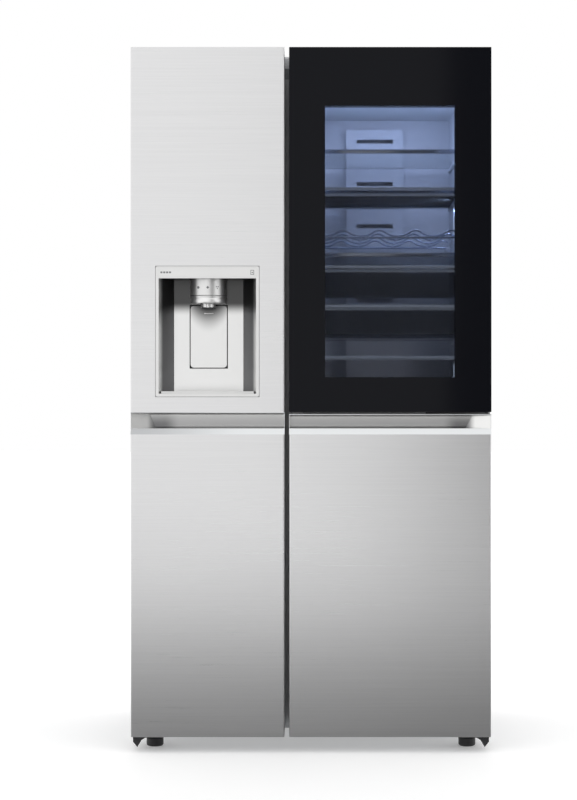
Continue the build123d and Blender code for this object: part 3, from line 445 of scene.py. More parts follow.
@dataclass(frozen=True)
class ClearMoulding:
    """Clear plastic or glass, shown by its tint, its gloss and its rims.

    What lies in front of rim_y is solid. A clear edge may get a painted glow: emission that
    brightens it, though it is no lamp.
    """

    name: str
    tone: Colour
    alpha: float
    rim_tone: Colour = (0.75, 0.78, 0.8)
    rim_y: float | None = None
    rim_metal: float = 0.0
    roughness: float = 0.06
    painted_glow: float = 0.0

    def material(self) -> bpy.types.Material:
        """Alpha, colour and metal change at the rim."""
        graph = Graph(self.name)
        smear = graph.noise((9.0, 9.0, 9.0), 3.0)
        sockets: dict[str, Any] = {
            "Base Color": rgba(self.tone), "Alpha": self.alpha + (smear - 0.5) * 0.05,
            "Roughness": self.roughness + smear * 0.05, "Specular IOR Level": 0.6}
        # painted glow: emission that brightens the clear edge, though it is no lamp
        if self.painted_glow:
            sockets["Emission Color"] = rgba(self.tone)
            sockets["Emission Strength"] = self.painted_glow
        if self.rim_y is not None:
            rim = graph.axes()[1] < self.rim_y
            sockets["Base Color"] = graph.blend(rim, rgba(self.tone), rgba(self.rim_tone))
            sockets["Alpha"] = self.alpha + rim * (1.0 - self.alpha)
            sockets["Metallic"] = rim * self.rim_metal
            sockets["Roughness"] = self.roughness + smear * 0.05 + rim * 0.12
        return graph.surface(sockets)


@dataclass(frozen=True)
class WindowGlass:
    """Black coated glass with a clear, tinted window in it."""

    window_x: tuple[float, float]
    window_z: tuple[float, float]
    name: str = "black_window_glass"
    coat_tone: Colour = (0.0040, 0.0043, 0.0062)
    clear_tone: Colour = (0.010, 0.012, 0.020)
    clearness: float = 0.80

    def material(self) -> bpy.types.Material:
        """The black coat stops at the window's edge."""
        graph = Graph(self.name)
        x, _, z = graph.axes()
        inside = graph.band(x, *self.window_x) * graph.band(z, *self.window_z)
        smear = graph.noise((3.0, 3.0, 3.0), 3.0)
        return graph.surface({
            "Base Color": graph.blend(inside, rgba(self.coat_tone), rgba(self.clear_tone)),
            "Alpha": 1.0 - inside * self.clearness,
            "Roughness": 0.06 + smear * 0.05, "Specular IOR Level": 0.1})


@dataclass(frozen=True)
class Glow:
    """A lens or a mark that is lit from behind."""

    name: str
    tone: Colour
    strength: float

    def material(self) -> bpy.types.Material:
        """Emission that a prismatic ripple breaks up a little."""
        graph = Graph(self.name)
        x, _, z = graph.axes()
        ripple = ((x * 900.0).wave() + (z * 900.0).wave()) * 0.06 + 0.94
        shade = graph.blend(ripple, rgba((0.0, 0.0, 0.0)), rgba(self.tone))
        return graph.surface({
            "Base Color": rgba(self.tone), "Roughness": 0.3,
            "Emission Color": shade, "Emission Strength": self.strength})


@dataclass(frozen=True)
class Foam:
    """Cut rigid foam."""

    name: str = "rigid_foam"
    tone: Colour = (0.78, 0.68, 0.42)

    def material(self) -> bpy.types.Material:
        """Open cells on the cut faces."""
        graph = Graph(self.name)
        cells = graph.node("ShaderNodeTexVoronoi", {"feature": "F1"},
                           {"Vector": graph.place((900.0, 900.0, 900.0)), "Scale": 1.0}, "Distance")
        shade = graph.blend(cells, rgba(self.tone), rgba(tuple(c * 0.8 for c in self.tone)))
        return graph.surface({"Base Color": shade, "Roughness": 0.95,
                              "Normal": graph.bump(cells, 0.0004, 0.6)})


# ---------------------------------------------------------------- modelling helpers


class Shop:
    """Makes solid pieces with Blender's own modelling operators."""

    @staticmethod
    def clear() -> None:
        """Leaves object mode with nothing selected."""
        if bpy.context.object and bpy.context.object.mode != "OBJECT":
            bpy.ops.object.mode_set(mode="OBJECT")
        bpy.ops.object.select_all(action="DESELECT")

    @staticmethod
    def settle(piece: bpy.types.Object, name: str) -> bpy.types.Object:
        """Names the active piece and puts its place into its mesh."""
        piece.name = name
        piece.data.name = name
        piece.select_set(True)
        bpy.ops.object.transform_apply(location=True, rotation=True, scale=True)
        piece.select_set(False)
        return piece

    @classmethod
    def bar(cls, name: str, low: Sequence[float], high: Sequence[float], bevel: float = 0.0,
            segments: int = 3) -> bpy.types.Object:
        """A block between two corners with rounded edges.

        Args:
            name: the piece's name.
            low: its lowest corner.
            high: its highest corner.
            bevel: radius of every edge, in metres.
            segments: facets in each rounded edge.

        Returns:
            The finished piece.
        """
        cls.clear()
        centre = [(a + b) / 2 for a, b in zip(low, high)]
        bpy.ops.mesh.primitive_cube_add(size=1.0, location=centre)
        piece = bpy.context.object
        piece.scale = [b - a for a, b in zip(low, high)]
        cls.settle(piece, name)
        if bevel:
            cls.round_edges(piece, bevel, segments)
        return piece

    @classmethod
    def round_edges(cls, piece: bpy.types.Object, width: float, segments: int = 3) -> None:
        """Bevels the sharp edges and smooths the shading."""
        cls.clear()
        piece.select_set(True)
        bpy.context.view_layer.objects.active = piece
        bevel = piece.modifiers.new("edge", "BEVEL")
        bevel.width = width
        bevel.segments = segments
        bevel.limit_method = "ANGLE"
        bpy.ops.object.modifier_apply(modifier=bevel.name)
        bpy.ops.object.shade_smooth_by_angle(angle=math.radians(40))
        piece.select_set(False)

    @classmethod
    def panel_frame(cls, name: str, low: Sequence[float], high: Sequence[float], border: float,
                    bevel: float, corner: float = 0.0) -> bpy.types.Object:
        """An upright rectangular ring facing -Y, made by an inset and a bridge.

        Args:
            name: the piece's name.
            low: lowest corner of the ring's outside.
            high: highest corner of the ring's outside.
            border: width of the ring.
            bevel: radius of its edges.
            corner: radius of its four corners.

        Returns:
            The finished ring.
        """
        piece = cls.bar(name, low, high)
        cls.clear()
        piece.select_set(True)
        bpy.context.view_layer.objects.active = piece
        bpy.ops.object.mode_set(mode="EDIT")
        bpy.ops.mesh.select_mode(type="FACE")
        bpy.ops.mesh.select_all(action="DESELECT")
        mesh = bmesh.from_edit_mesh(piece.data)
        for face in mesh.faces:
            face.select = abs(face.normal.y) > 0.9
        bmesh.update_edit_mesh(piece.data)
        bpy.ops.mesh.inset(thickness=border, depth=0.0)
        bpy.ops.mesh.bridge_edge_loops()
        if corner:
            bpy.ops.mesh.select_mode(type="EDGE")
            bpy.ops.mesh.select_all(action="DESELECT")
            mesh = bmesh.from_edit_mesh(piece.data)
            for edge in mesh.edges:
                first, second = (vertex.co for vertex in edge.verts)
                edge.select = abs((first - second).normalized().y) > 0.99
            bmesh.update_edit_mesh(piece.data)
            bpy.ops.mesh.bevel(offset=corner, segments=6)
        bpy.ops.object.mode_set(mode="OBJECT")
        cls.round_edges(piece, bevel, 2)
        return piece

    @classmethod
    def disc(cls, name: str, centre: Sequence[float], radius: float, depth: float, axis: str = "Z",
             bevel: float = 0.0, sides: int = 48) -> bpy.types.Object:
        """A round plate or bar about its middle, with rounded rims."""
        cls.clear()
        turn = {"X": (0, math.pi / 2, 0), "Y": (math.pi / 2, 0, 0), "Z": (0, 0, 0)}[axis]
        bpy.ops.mesh.primitive_cylinder_add(vertices=sides, radius=radius, depth=depth,
                                            location=centre, rotation=turn)
        piece = cls.settle(bpy.context.object, name)
        cls.round_edges(piece, bevel or depth * 0.15, 2)
        return piece

    @classmethod
    def collar(cls, name: str, centre: Sequence[float], radius: float, thick: float,
               axis: str = "Z") -> bpy.types.Object:
        """A round ring of round section."""
        cls.clear()
        turn = {"X": (0, math.pi / 2, 0), "Y": (math.pi / 2, 0, 0), "Z": (0, 0, 0)}[axis]
        bpy.ops.mesh.primitive_torus_add(major_radius=radius, minor_radius=thick,
                                         major_segments=64, minor_segments=12,
                                         location=centre, rotation=turn)
        piece = cls.settle(bpy.context.object, name)
        piece.select_set(True)
        bpy.ops.object.shade_smooth()
        piece.select_set(False)
        return piece

    @classmethod
    def joined(cls, name: str, parts: Iterable[bpy.types.Object]) -> bpy.types.Object:
        """Several pieces as one mesh."""
        parts = list(parts)
        cls.clear()
        for part in parts:
            part.select_set(True)
        bpy.context.view_layer.objects.active = parts[0]
        bpy.ops.object.join()
        return cls.settle(parts[0], name)


class Palette:
    """Every finish of the refrigerator, each made once."""

    def __init__(self, frame: dict[str, Any]) -> None:
        """Makes the finishes.
        """
        self.nodes = frame["nodes"]
        window = WindowPlan()
        display_low, display_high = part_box("dispenser_display")
        middle = (display_low.x + display_high.x) / 2
        self.finish = {f.name: f.material() for f in (
            BrushedSteel(),
            GrooveSteel(),
            RecessSteel(middle),
            PaddleSteel(middle),
            BrushedSteel("coil_metal", (0.62, 0.63, 0.65), 0.38, 0.03),
            PaintedSheet("case_paint", (0.20, 0.205, 0.215)),
            PaintedSheet("black_bracket", (0.018, 0.018, 0.02), 0.38, 0.0),
            PaintedSheet("compressor_paint", (0.025, 0.025, 0.027), 0.35, 0.1),
            GalvanisedSheet(),
            Moulded("liner_white", (0.80, 0.82, 0.85), 0.32, 500.0, 0.00003),
            Moulded("dark_plastic", (0.045, 0.046, 0.05), 0.45),
            Moulded("mullion_grey", (0.52, 0.52, 0.53), 0.4),
            Moulded("grey_plastic", (0.36, 0.37, 0.38), 0.42),
            Moulded("silver_plastic", (0.74, 0.74, 0.735), 0.34, 1200.0, 0.00002, metallic=0.6),
            Moulded("black_gloss", (0.012, 0.012, 0.014), 0.12, 700.0, 0.00001, coat=0.6),
            Moulded("gasket_grey", (0.42, 0.43, 0.45), 0.6, 1200.0, 0.00003, 0.15),
            Moulded("foot_rubber", (0.012, 0.012, 0.013), 0.55, 900.0, 0.0001, 0.1),
            Moulded("head_metal", (0.78, 0.78, 0.775), 0.36, 900.0, 0.00001, metallic=1.0),
            Moulded("ring_metal", (0.88, 0.88, 0.875), 0.34, 900.0, 0.00001, metallic=1.0),
            Moulded("shelf_chrome", (0.68, 0.75, 0.90), 0.16, 900.0, 0.00001, metallic=0.6),
            Moulded("bright_metal", (0.75, 0.76, 0.78), 0.12, 900.0, 0.00001, metallic=1.0),
            Moulded("mark_ink", (0.16, 0.165, 0.17), 0.5, 2000.0, 0.00001),
            Foam(),
            ClearMoulding("shelf_glass", (0.80, 0.90, 0.93), 0.22, (0.78, 0.8, 0.82),
                          -0.1115, 0.7),
            ClearMoulding("clear_bin", (0.70, 0.78, 0.90), 0.045),
            # the basket rims get a painted glow that brightens them
            ClearMoulding("bin_rim", (0.66, 0.75, 0.92), 0.60, painted_glow=0.22),
            ClearMoulding("drawer_clear", (0.78, 0.84, 0.9), 0.30, (0.85, 0.88, 0.9), -0.165),
            WindowGlass(window.x, window.z),
            Glow("lamp_glow", (0.62, 0.76, 1.0), 0.9))}

    def dress(self, finish: str, *nodes: str) -> None:
        """Gives CAD nodes a finish through their material slots."""
        for name in nodes:
            mesh = self.nodes[name].data
            for index in range(max(1, len(mesh.materials))):
                if index < len(mesh.materials):
                    mesh.materials[index] = self.finish[finish]
                else:
                    mesh.materials.append(self.finish[finish])

    def fit(self, piece: bpy.types.Object, finish: str, body: str, slot: str) -> None:
        """Gives a new piece its finish and its body."""
        piece.data.materials.clear()
        piece.data.materials.append(self.finish[finish])
        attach(piece, body)
        LOG.info("made %s on %s", piece.name, body)


@dataclass(frozen=True)
class WindowPlan:
    """Where the clear window lies in the black glass."""

    left: float = 0.0357
    right: float = 0.3649
    low: float = 0.9507
    high: float = 1.6373

    @property
    def x(self) -> tuple[float, float]:
        """Its extent from side to side."""
        return (self.left, self.right)

    @property
    def z(self) -> tuple[float, float]:
        """Its extent in height."""
        return (self.low, self.high)


# ---------------------------------------------------------------- studio


@dataclass
class Studio:
    """Pale floor, soft light and the camera in front of the doors."""

    distance: float = 5.2
    eye_height: float = 0.893
    view_height: float = 2.0232
    sensor: float = 36.0
    aside: float = -0.0281
    floor_size: float = 60.0
    floor_drop: float = 0.0005
    floor_glow: float = 0.24
    floor_flag_size: Point = (4.4, 2.4, 1.0)
    side_flag_size: Point = (3.6, 3.2, 1.0)
    side_flag_away: float = 4.1
    cold_light: Colour = (0.50, 0.62, 1.0)
    pale_light: Colour = (0.80, 0.82, 1.0)
    wall_lamp: tuple[float, float] = (0.03, 0.12)
    wall_gap: float = 0.03
    door_plane: float = field(default_factory=lambda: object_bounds()[0][1])

    def camera(self) -> None:
        """A level camera straight in front, with the object a little right of centre."""
        Shop.clear()
        bpy.ops.object.camera_add(location=(0.0, self.door_plane - self.distance, self.eye_height),
                                  rotation=(math.pi / 2, 0.0, 0.0))
        camera = bpy.context.object
        camera.name = "front_camera"
        camera.data.sensor_width = self.sensor
        camera.data.lens = self.sensor * self.distance / self.view_height
        camera.data.shift_x = self.aside
        bpy.context.scene.camera = camera

    def floor(self) -> None:
        """A wide pale floor that the feet stand on."""
        Shop.clear()
        bpy.ops.mesh.primitive_plane_add(size=self.floor_size,
                                         location=(0.0, 0.0, -self.floor_drop))
        floor = Shop.settle(bpy.context.object, "studio_floor")
        graph = Graph("pale_floor")
        mottle = graph.noise((1.5, 1.5, 1.5), 3.0)
        shade = graph.blend(mottle, rgba((0.86, 0.86, 0.86)), rgba((0.9, 0.9, 0.9)))
        floor.data.materials.append(graph.surface({
            "Base Color": shade, "Roughness": 0.9, "Emission Color": rgba((1.0, 1.0, 1.0)),
            "Emission Strength": self.floor_glow}))
        floor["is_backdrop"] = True

    def flags(self) -> None:
        """Dark cards that only reflections see: one on the floor, one beside the camera."""
        graph = Graph("flag_black")
        weave = graph.noise((300.0, 300.0, 300.0))
        shade = graph.blend(weave, rgba((0.10, 0.10, 0.10)), rgba((0.14, 0.14, 0.14)))
        cloth = graph.surface({"Base Color": shade, "Roughness": 1.0})
        near = self.door_plane - 0.02
        deep = self.floor_flag_size[1]
        self.card("floor_flag", (0.3, near - deep / 2, 0.004), self.floor_flag_size, 0.0, cloth)
        self.card("side_flag", (2.42, self.door_plane - self.side_flag_away, 1.2),
                  self.side_flag_size, math.pi / 2, cloth)

    @staticmethod
    def card(name: str, place: Point, size: Point, tilt: float,
             cloth: bpy.types.Material) -> None:
        """A flat card that neither shows to the camera nor casts a shadow."""
        Shop.clear()
        bpy.ops.mesh.primitive_plane_add(size=1.0, location=place, rotation=(tilt, 0.0, 0.0))
        card = bpy.context.object
        card.scale = size
        Shop.settle(card, name)
        card.data.materials.append(cloth)
        card.visible_camera = False
        card.visible_shadow = False
        card.visible_diffuse = False
        card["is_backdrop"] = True

    @staticmethod
    def softbox(name: str, place: Point, aim: Point, size: tuple[float, float], power: float,
                tint: Colour = (1.0, 1.0, 1.0)) -> bpy.types.Object:
        """A rectangular area light at a place, aimed at a point."""
        Shop.clear()
        bpy.ops.object.light_add(type="AREA", location=place)
        lamp = bpy.context.object
        lamp.name = name
        lamp.data.shape = "RECTANGLE"
        lamp.data.size, lamp.data.size_y = size
        lamp.data.energy = power
        lamp.data.color = tint
        lamp.rotation_euler = (Vector(aim) - Vector(place)).to_track_quat("-Z", "Y").to_euler()
        return lamp

    def lights(self) -> None:
        """World light, an upper left key, a weaker right fill and the lamps inside."""
        bpy.context.scene.view_settings.view_transform = "Standard"
        world = bpy.data.worlds.new("soft_room")
        world.use_nodes = True
        world.node_tree.nodes["Background"].inputs["Color"].default_value = (1.0, 1.0, 1.0, 1.0)
        world.node_tree.nodes["Background"].inputs["Strength"].default_value = 1.0
        bpy.context.scene.world = world
        self.softbox("key_light", (-2.6, -5.0, 3.4), (0.0, 0.0, 1.1), (2.6, 2.6), 3.0)
        self.softbox("fill_light", (3.2, -4.2, 2.2), (0.0, 0.0, 0.9), (2.0, 2.0), 10.0)
        self.softbox("back_light", (0.0, 4.5, 3.0), (0.0, 0.0, 0.9), (3.0, 2.0), 30.0)
        low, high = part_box("fridge_liner")
        middle = (low.x + high.x) / 2
        side = high.x - self.wall_gap
        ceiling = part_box("cabin_lamps")[1].z
        self.softbox("fridge_lamp", (middle, -0.06, ceiling - 0.008), (middle, 0.12, 1.2),
                     (0.30, 0.05), 1.9, self.cold_light)
        self.softbox("fridge_side_lamp", (side, 0.05, 1.40), (middle, 0.1, 1.3),
                     self.wall_lamp, 0.9, self.cold_light)
        self.softbox("fridge_low_lamp", (side, 0.05, 0.95), (middle, 0.0, 1.0),
                     self.wall_lamp, 1.0, self.pale_light)

    def build(self) -> None:
        """Sets the whole studio."""
        self.camera()
        self.floor()
        self.flags()
        self.lights()


# ---------------------------------------------------------------- sub-assemblies


class Door(Enum):
    """The two doors that are hinged on the cabinet, with the names of their pieces."""

    FREEZER = "freezer_door"
    FRIDGE = "fridge_door"

    @property
    def baskets(self) -> str:
        """The CAD node that holds this door's baskets."""
        return f"{self.value}_baskets"

    @property
    def gasket(self) -> str:
        """The CAD node that this door's gasket stands for."""
        return f"{self.value}_gasket"


@dataclass
class Cabinet:
    """Case, liners, hinges and the parts under the cabinet."""

    palette: Palette
    hexagon: int = 6
    nut_radius: float = 0.0105
    nut_thick: float = 0.006
    nut_height: float = 0.0255
    screw_radius: float = 0.0045
    screw_head: float = 0.0022
    screw_sunk: float = 0.0003
    panel_inset: float = 0.02
    cover_inset: float = 0.012
    shroud_gap: float = 0.012
    shroud_thick: float = 0.006
    stay_half: float = 0.004
    stay_x: tuple[float, float] = (-0.018, -0.013)
    stay_bevel: float = 0.0015

    def dress(self) -> None:
        """Gives the cabinet's CAD nodes their finishes."""
        dress = self.palette.dress
        dress("case_paint", "outer_case")
        dress("galvanised_sheet", "back_panel", "base_pan", "machine_cover")
        dress("rigid_foam", "cabinet_insulation", "freezer_door_core")
        dress("liner_white", "freezer_liner", "fridge_liner", "air_ducts", "water_filter")
        dress("mullion_grey", "centre_mullion", "top_cover")
        dress("black_bracket", "top_hinges", "bottom_hinges", "outer_door_hinges")
        dress("bright_metal", "hinge_screws")
        dress("shelf_chrome", "bottle_rack")
        dress("foot_rubber", "front_foot_left", "front_foot_right")
        dress("dark_plastic", "rear_rollers", "drain_pan", "condenser_fan", "evaporator_fan",
              "cord_gland")
        dress("coil_metal", "evaporator", "condenser")
        dress("compressor_paint", "compressor")
        dress("grey_plastic", "water_valve")
        dress("lamp_glow", "cabin_lamps")

    def foot_nuts(self) -> None:
        """A lock nut on the stem of each levelling foot."""
        for name in ("front_foot_left", "front_foot_right"):
            low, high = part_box(name)
            centre = ((low.x + high.x) / 2, (low.y + high.y) / 2, self.nut_height)
            nut = Shop.disc(f"{name}_nut", centre, self.nut_radius, self.nut_thick, "Z", 0.0008,
                            self.hexagon)
            self.palette.fit(nut, "black_bracket", name, "black_steel")

    def back_screws(self) -> None:
        """Hexagon heads round the back panel and the machine cover."""
        low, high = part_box("back_panel")
        cover_low, cover_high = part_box("machine_cover")
        heads = []
        for x in (low.x + self.panel_inset, low.x / 3, high.x / 3, high.x - self.panel_inset):
            for z in (low.z + self.panel_inset, high.z - self.panel_inset):
                heads.append((x, high.y - self.screw_head, z))
            heads.append((x, cover_high.y, cover_high.z - self.cover_inset))
            heads.append((x, cover_high.y, cover_low.z + self.cover_inset))
        middle = self.screw_head / 2 - self.screw_sunk
        parts = [Shop.disc("head", (x, y + middle, z), self.screw_radius, self.screw_head, "Y",
                           0.0004, self.hexagon) for x, y, z in heads]
        screws = Shop.joined("back_screws", parts)
        self.palette.fit(screws, "bright_metal", "cabinet", "bright_screw")

    def fan_shroud(self) -> None:
        """The ring and the stays round the condenser fan."""
        low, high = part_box("condenser_fan")
        centre = (low + high) / 2
        radius = (high.z - low.z) / 2 + self.shroud_gap
        ring = Shop.collar("ring", centre, radius, self.shroud_thick, "X")
        near, far = (centre.x + x for x in self.stay_x)
        stays = [Shop.bar("stay", (near, centre.y - wide, centre.z - tall),
                          (far, centre.y + wide, centre.z + tall), self.stay_bevel, 2)
                 for wide, tall in ((self.stay_half, radius), (radius, self.stay_half))]
        shroud = Shop.joined("condenser_fan_shroud", [ring, *stays])
        self.palette.fit(shroud, "dark_plastic", "cabinet", "dark_plastic")

    def build(self) -> None:
        """Dresses the cabinet and adds its small pieces."""
        self.dress()
        self.foot_nuts()
        self.back_screws()
        self.fan_shroud()


@dataclass
class ColdRooms:
    """Shelves, ledges, racks and drawers inside the cabinet."""

    palette: Palette
    shelf_heights: dict[str, tuple[float, ...]] = field(default_factory=lambda: {
        "freezer": (0.572, 0.860, 1.150, 1.440),
        "fridge": (0.574, 0.820, 1.060, 1.275, 1.440, 1.548)})
    ledge_drop: float = 0.005
    ledge_tall: float = 0.009
    ledge_out: float = 0.007
    ledge_play: float = 0.0003
    short_shelf_y: float = -0.120
    full_shelf_below: float = 0.6
    clip_reach: float = 0.008
    clip_half: float = 0.009
    clip_play: float = 0.0004
    wire_radius: float = 0.003

    def dress(self) -> None:
        """Gives the shelves and drawers their finishes."""
        self.palette.dress("shelf_glass", "freezer_shelves", "fridge_shelves")
        self.palette.dress("drawer_clear", "freezer_drawer_lower", "freezer_drawer_upper",
                           "crisper_lower", "crisper_upper")

    def ledges(self) -> None:
        """The moulded ledges that the shelves lie on."""
        for room, heights in self.shelf_heights.items():
            low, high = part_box(f"{room}_shelves")
            parts = []
            for height in heights:
                top = height - self.ledge_drop
                for x in (low.x - self.ledge_play, high.x + self.ledge_play - self.ledge_out):
                    parts.append(Shop.bar("ledge", (x, low.y + 0.012, top - self.ledge_tall),
                                          (x + self.ledge_out, high.y - 0.01, top), 0.002))
            ledges = Shop.joined(f"{room}_shelf_ledges", parts)
            self.palette.fit(ledges, "liner_white", "cabinet", "liner_white")

    def shelf_trims(self) -> None:
        """A bright strip along the front of each shelf."""
        for room, heights in self.shelf_heights.items():
            low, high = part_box(f"{room}_shelves")
            parts = []
            for height in heights:
                full = room == "fridge" or height < self.full_shelf_below
                front = low.y if full else self.short_shelf_y
                parts.append(Shop.bar("strip", (low.x, front - 0.0012, height - 0.0035),
                                      (high.x, front + 0.002, height + 0.0065), 0.0007, 2))
            trims = Shop.joined(f"{room}_shelf_trims", parts)
            self.palette.fit(trims, "shelf_chrome", "cabinet", "chrome_wire")

    def rack_clips(self) -> None:
        """Four plastic clips that carry the bottle rack's long wires."""
        low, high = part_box("bottle_rack")
        room_low, room_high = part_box("fridge_shelves")
        wire, half = low.z + self.wire_radius, self.clip_half
        spans = ((room_low.x - self.clip_play, low.x + self.clip_reach),
                 (high.x - self.clip_reach, room_high.x + self.clip_play))
        parts = []
        for y in (low.y + self.wire_radius, high.y - self.wire_radius):
            for x0, x1 in spans:
                parts.append(Shop.bar("clip", (x0, y - half, wire - half),
                                      (x1, y + half, wire + 0.001), 0.0018))
        clips = Shop.joined("bottle_rack_clips", parts)
        self.palette.fit(clips, "liner_white", "cabinet", "liner_white")

    def drawer_trims(self) -> None:
        """A pull rail across the top of each drawer's front."""
        for name in ("freezer_drawer_lower", "freezer_drawer_upper", "crisper_lower",
                     "crisper_upper"):
            low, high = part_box(name)
            rail = Shop.bar(f"{name}_rail", (low.x, low.y - 0.0015, high.z - 0.022),
                            (high.x, low.y + 0.004, high.z + 0.0004), 0.0015)
            self.palette.fit(rail, "silver_plastic", name, "dispenser_silver")

    def build(self) -> None:
        """Dresses the rooms and adds ledges, strips and rails."""
        self.dress()
        self.ledges()
        self.shelf_trims()
        self.rack_clips()
        self.drawer_trims()


@dataclass
class DoorInsides:
    """Gaskets, baskets and liners on the back of the two cabinet doors."""

    palette: Palette
    rim: float = 0.004
    basket_tops: dict[Door, tuple[float, ...]] = field(default_factory=lambda: {
        Door.FREEZER: (0.245, 0.465, 0.685, 0.905, 1.125),
        Door.FRIDGE: (0.245, 0.485, 0.725)})
    pantry_tops: tuple[float, ...] = (1.005, 1.135, 1.235, 1.435)
    pantry_x: tuple[float, float] = (0.020, 0.385)
    fridge_low: Point = (-0.006, -0.2615, 0.0)
    fridge_high: Point = (0.374, -0.190, 0.0)

    def dress(self) -> None:
        """Gives the inner sides of the doors their finishes."""
        dress = self.palette.dress
        dress("liner_white", "freezer_door_liner", "fridge_door_liner")
        dress("grey_plastic", "freezer_door_caps", "fridge_door_caps", "fridge_door_body")
        dress("clear_bin", "freezer_door_baskets", "fridge_door_baskets", "ice_bin")
        dress("coil_metal", "ice_auger")
        dress("gasket_grey", "outer_door_gasket")

    def gasket(self, door: Door) -> None:
        """A base strip, a magnet bulb and two sealing fins round one door.

        Args:
            door: the door whose gasket is made.
        """
        low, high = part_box(door.gasket)
        deep = high.y - low.y
        parts = []
        for inset, wide, part in ((0.0, 0.021, 0.34), (0.0005, 0.004, 0.85), (0.006, 0.008, 1.0),
                                  (0.0165, 0.0035, 0.8)):
            parts.append(Shop.panel_frame("rib", (low.x + inset, low.y, low.z + inset),
                                          (high.x - inset, low.y + deep * part, high.z - inset),
                                          wide, 0.001))
        gasket = Shop.joined(f"{door.value}_seal", parts)
        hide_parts(door.gasket)
        self.palette.fit(gasket, "gasket_grey", door.value, "gasket_rubber")

    def ring_of_bars(self, low: Vector, high: Vector, top: float) -> list[bpy.types.Object]:
        """Four rounded bars along the top edge of one basket."""
        rim = self.rim
        corners = ((low.x, low.y, high.x, low.y + rim), (low.x, high.y - rim, high.x, high.y),
                   (low.x, low.y, low.x + rim, high.y), (high.x - rim, low.y, high.x, high.y))
        return [Shop.bar("rim", (x0, y0, top - 0.006), (x1, y1, top + 0.0008), 0.0012, 2)
                for x0, y0, x1, y1 in corners]

    def basket_rims(self, door: Door) -> None:
        """A thicker rim round the top of each basket of one door."""
        low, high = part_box(door.baskets)
        if door is Door.FRIDGE:
            low, high = Vector(self.fridge_low), Vector(self.fridge_high)
        parts = []
        for top in self.basket_tops[door]:
            parts += self.ring_of_bars(low, high, top)
        if door is Door.FRIDGE:
            full_low, full_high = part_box(door.baskets)
            pantry_low = Vector((self.pantry_x[0], full_low.y, 0.0))
            pantry_high = Vector((self.pantry_x[1], full_high.y, 0.0))
            for top in self.pantry_tops:
                parts += self.ring_of_bars(pantry_low, pantry_high, top)
        rims = Shop.joined(f"{door.value}_basket_rims", parts)
        # the rim finish carries a painted glow
        self.palette.fit(rims, "bin_rim", door.value, "clear_plastic")

    def build(self) -> None:
        """Dresses the door insides and adds gaskets and rims."""
        self.dress()
        for door in Door:
            self.gasket(door)
            self.basket_rims(door)


@dataclass
class SteelFronts:
    """The steel panels and the groove across both doors."""

    palette: Palette

    def build(self) -> None:
        """Dresses the steel panels and the handle groove."""
        self.palette.dress("brushed_steel", "freezer_door_panels", "fridge_door_panel")
        self.palette.dress("groove_steel", "freezer_handle", "fridge_handle")


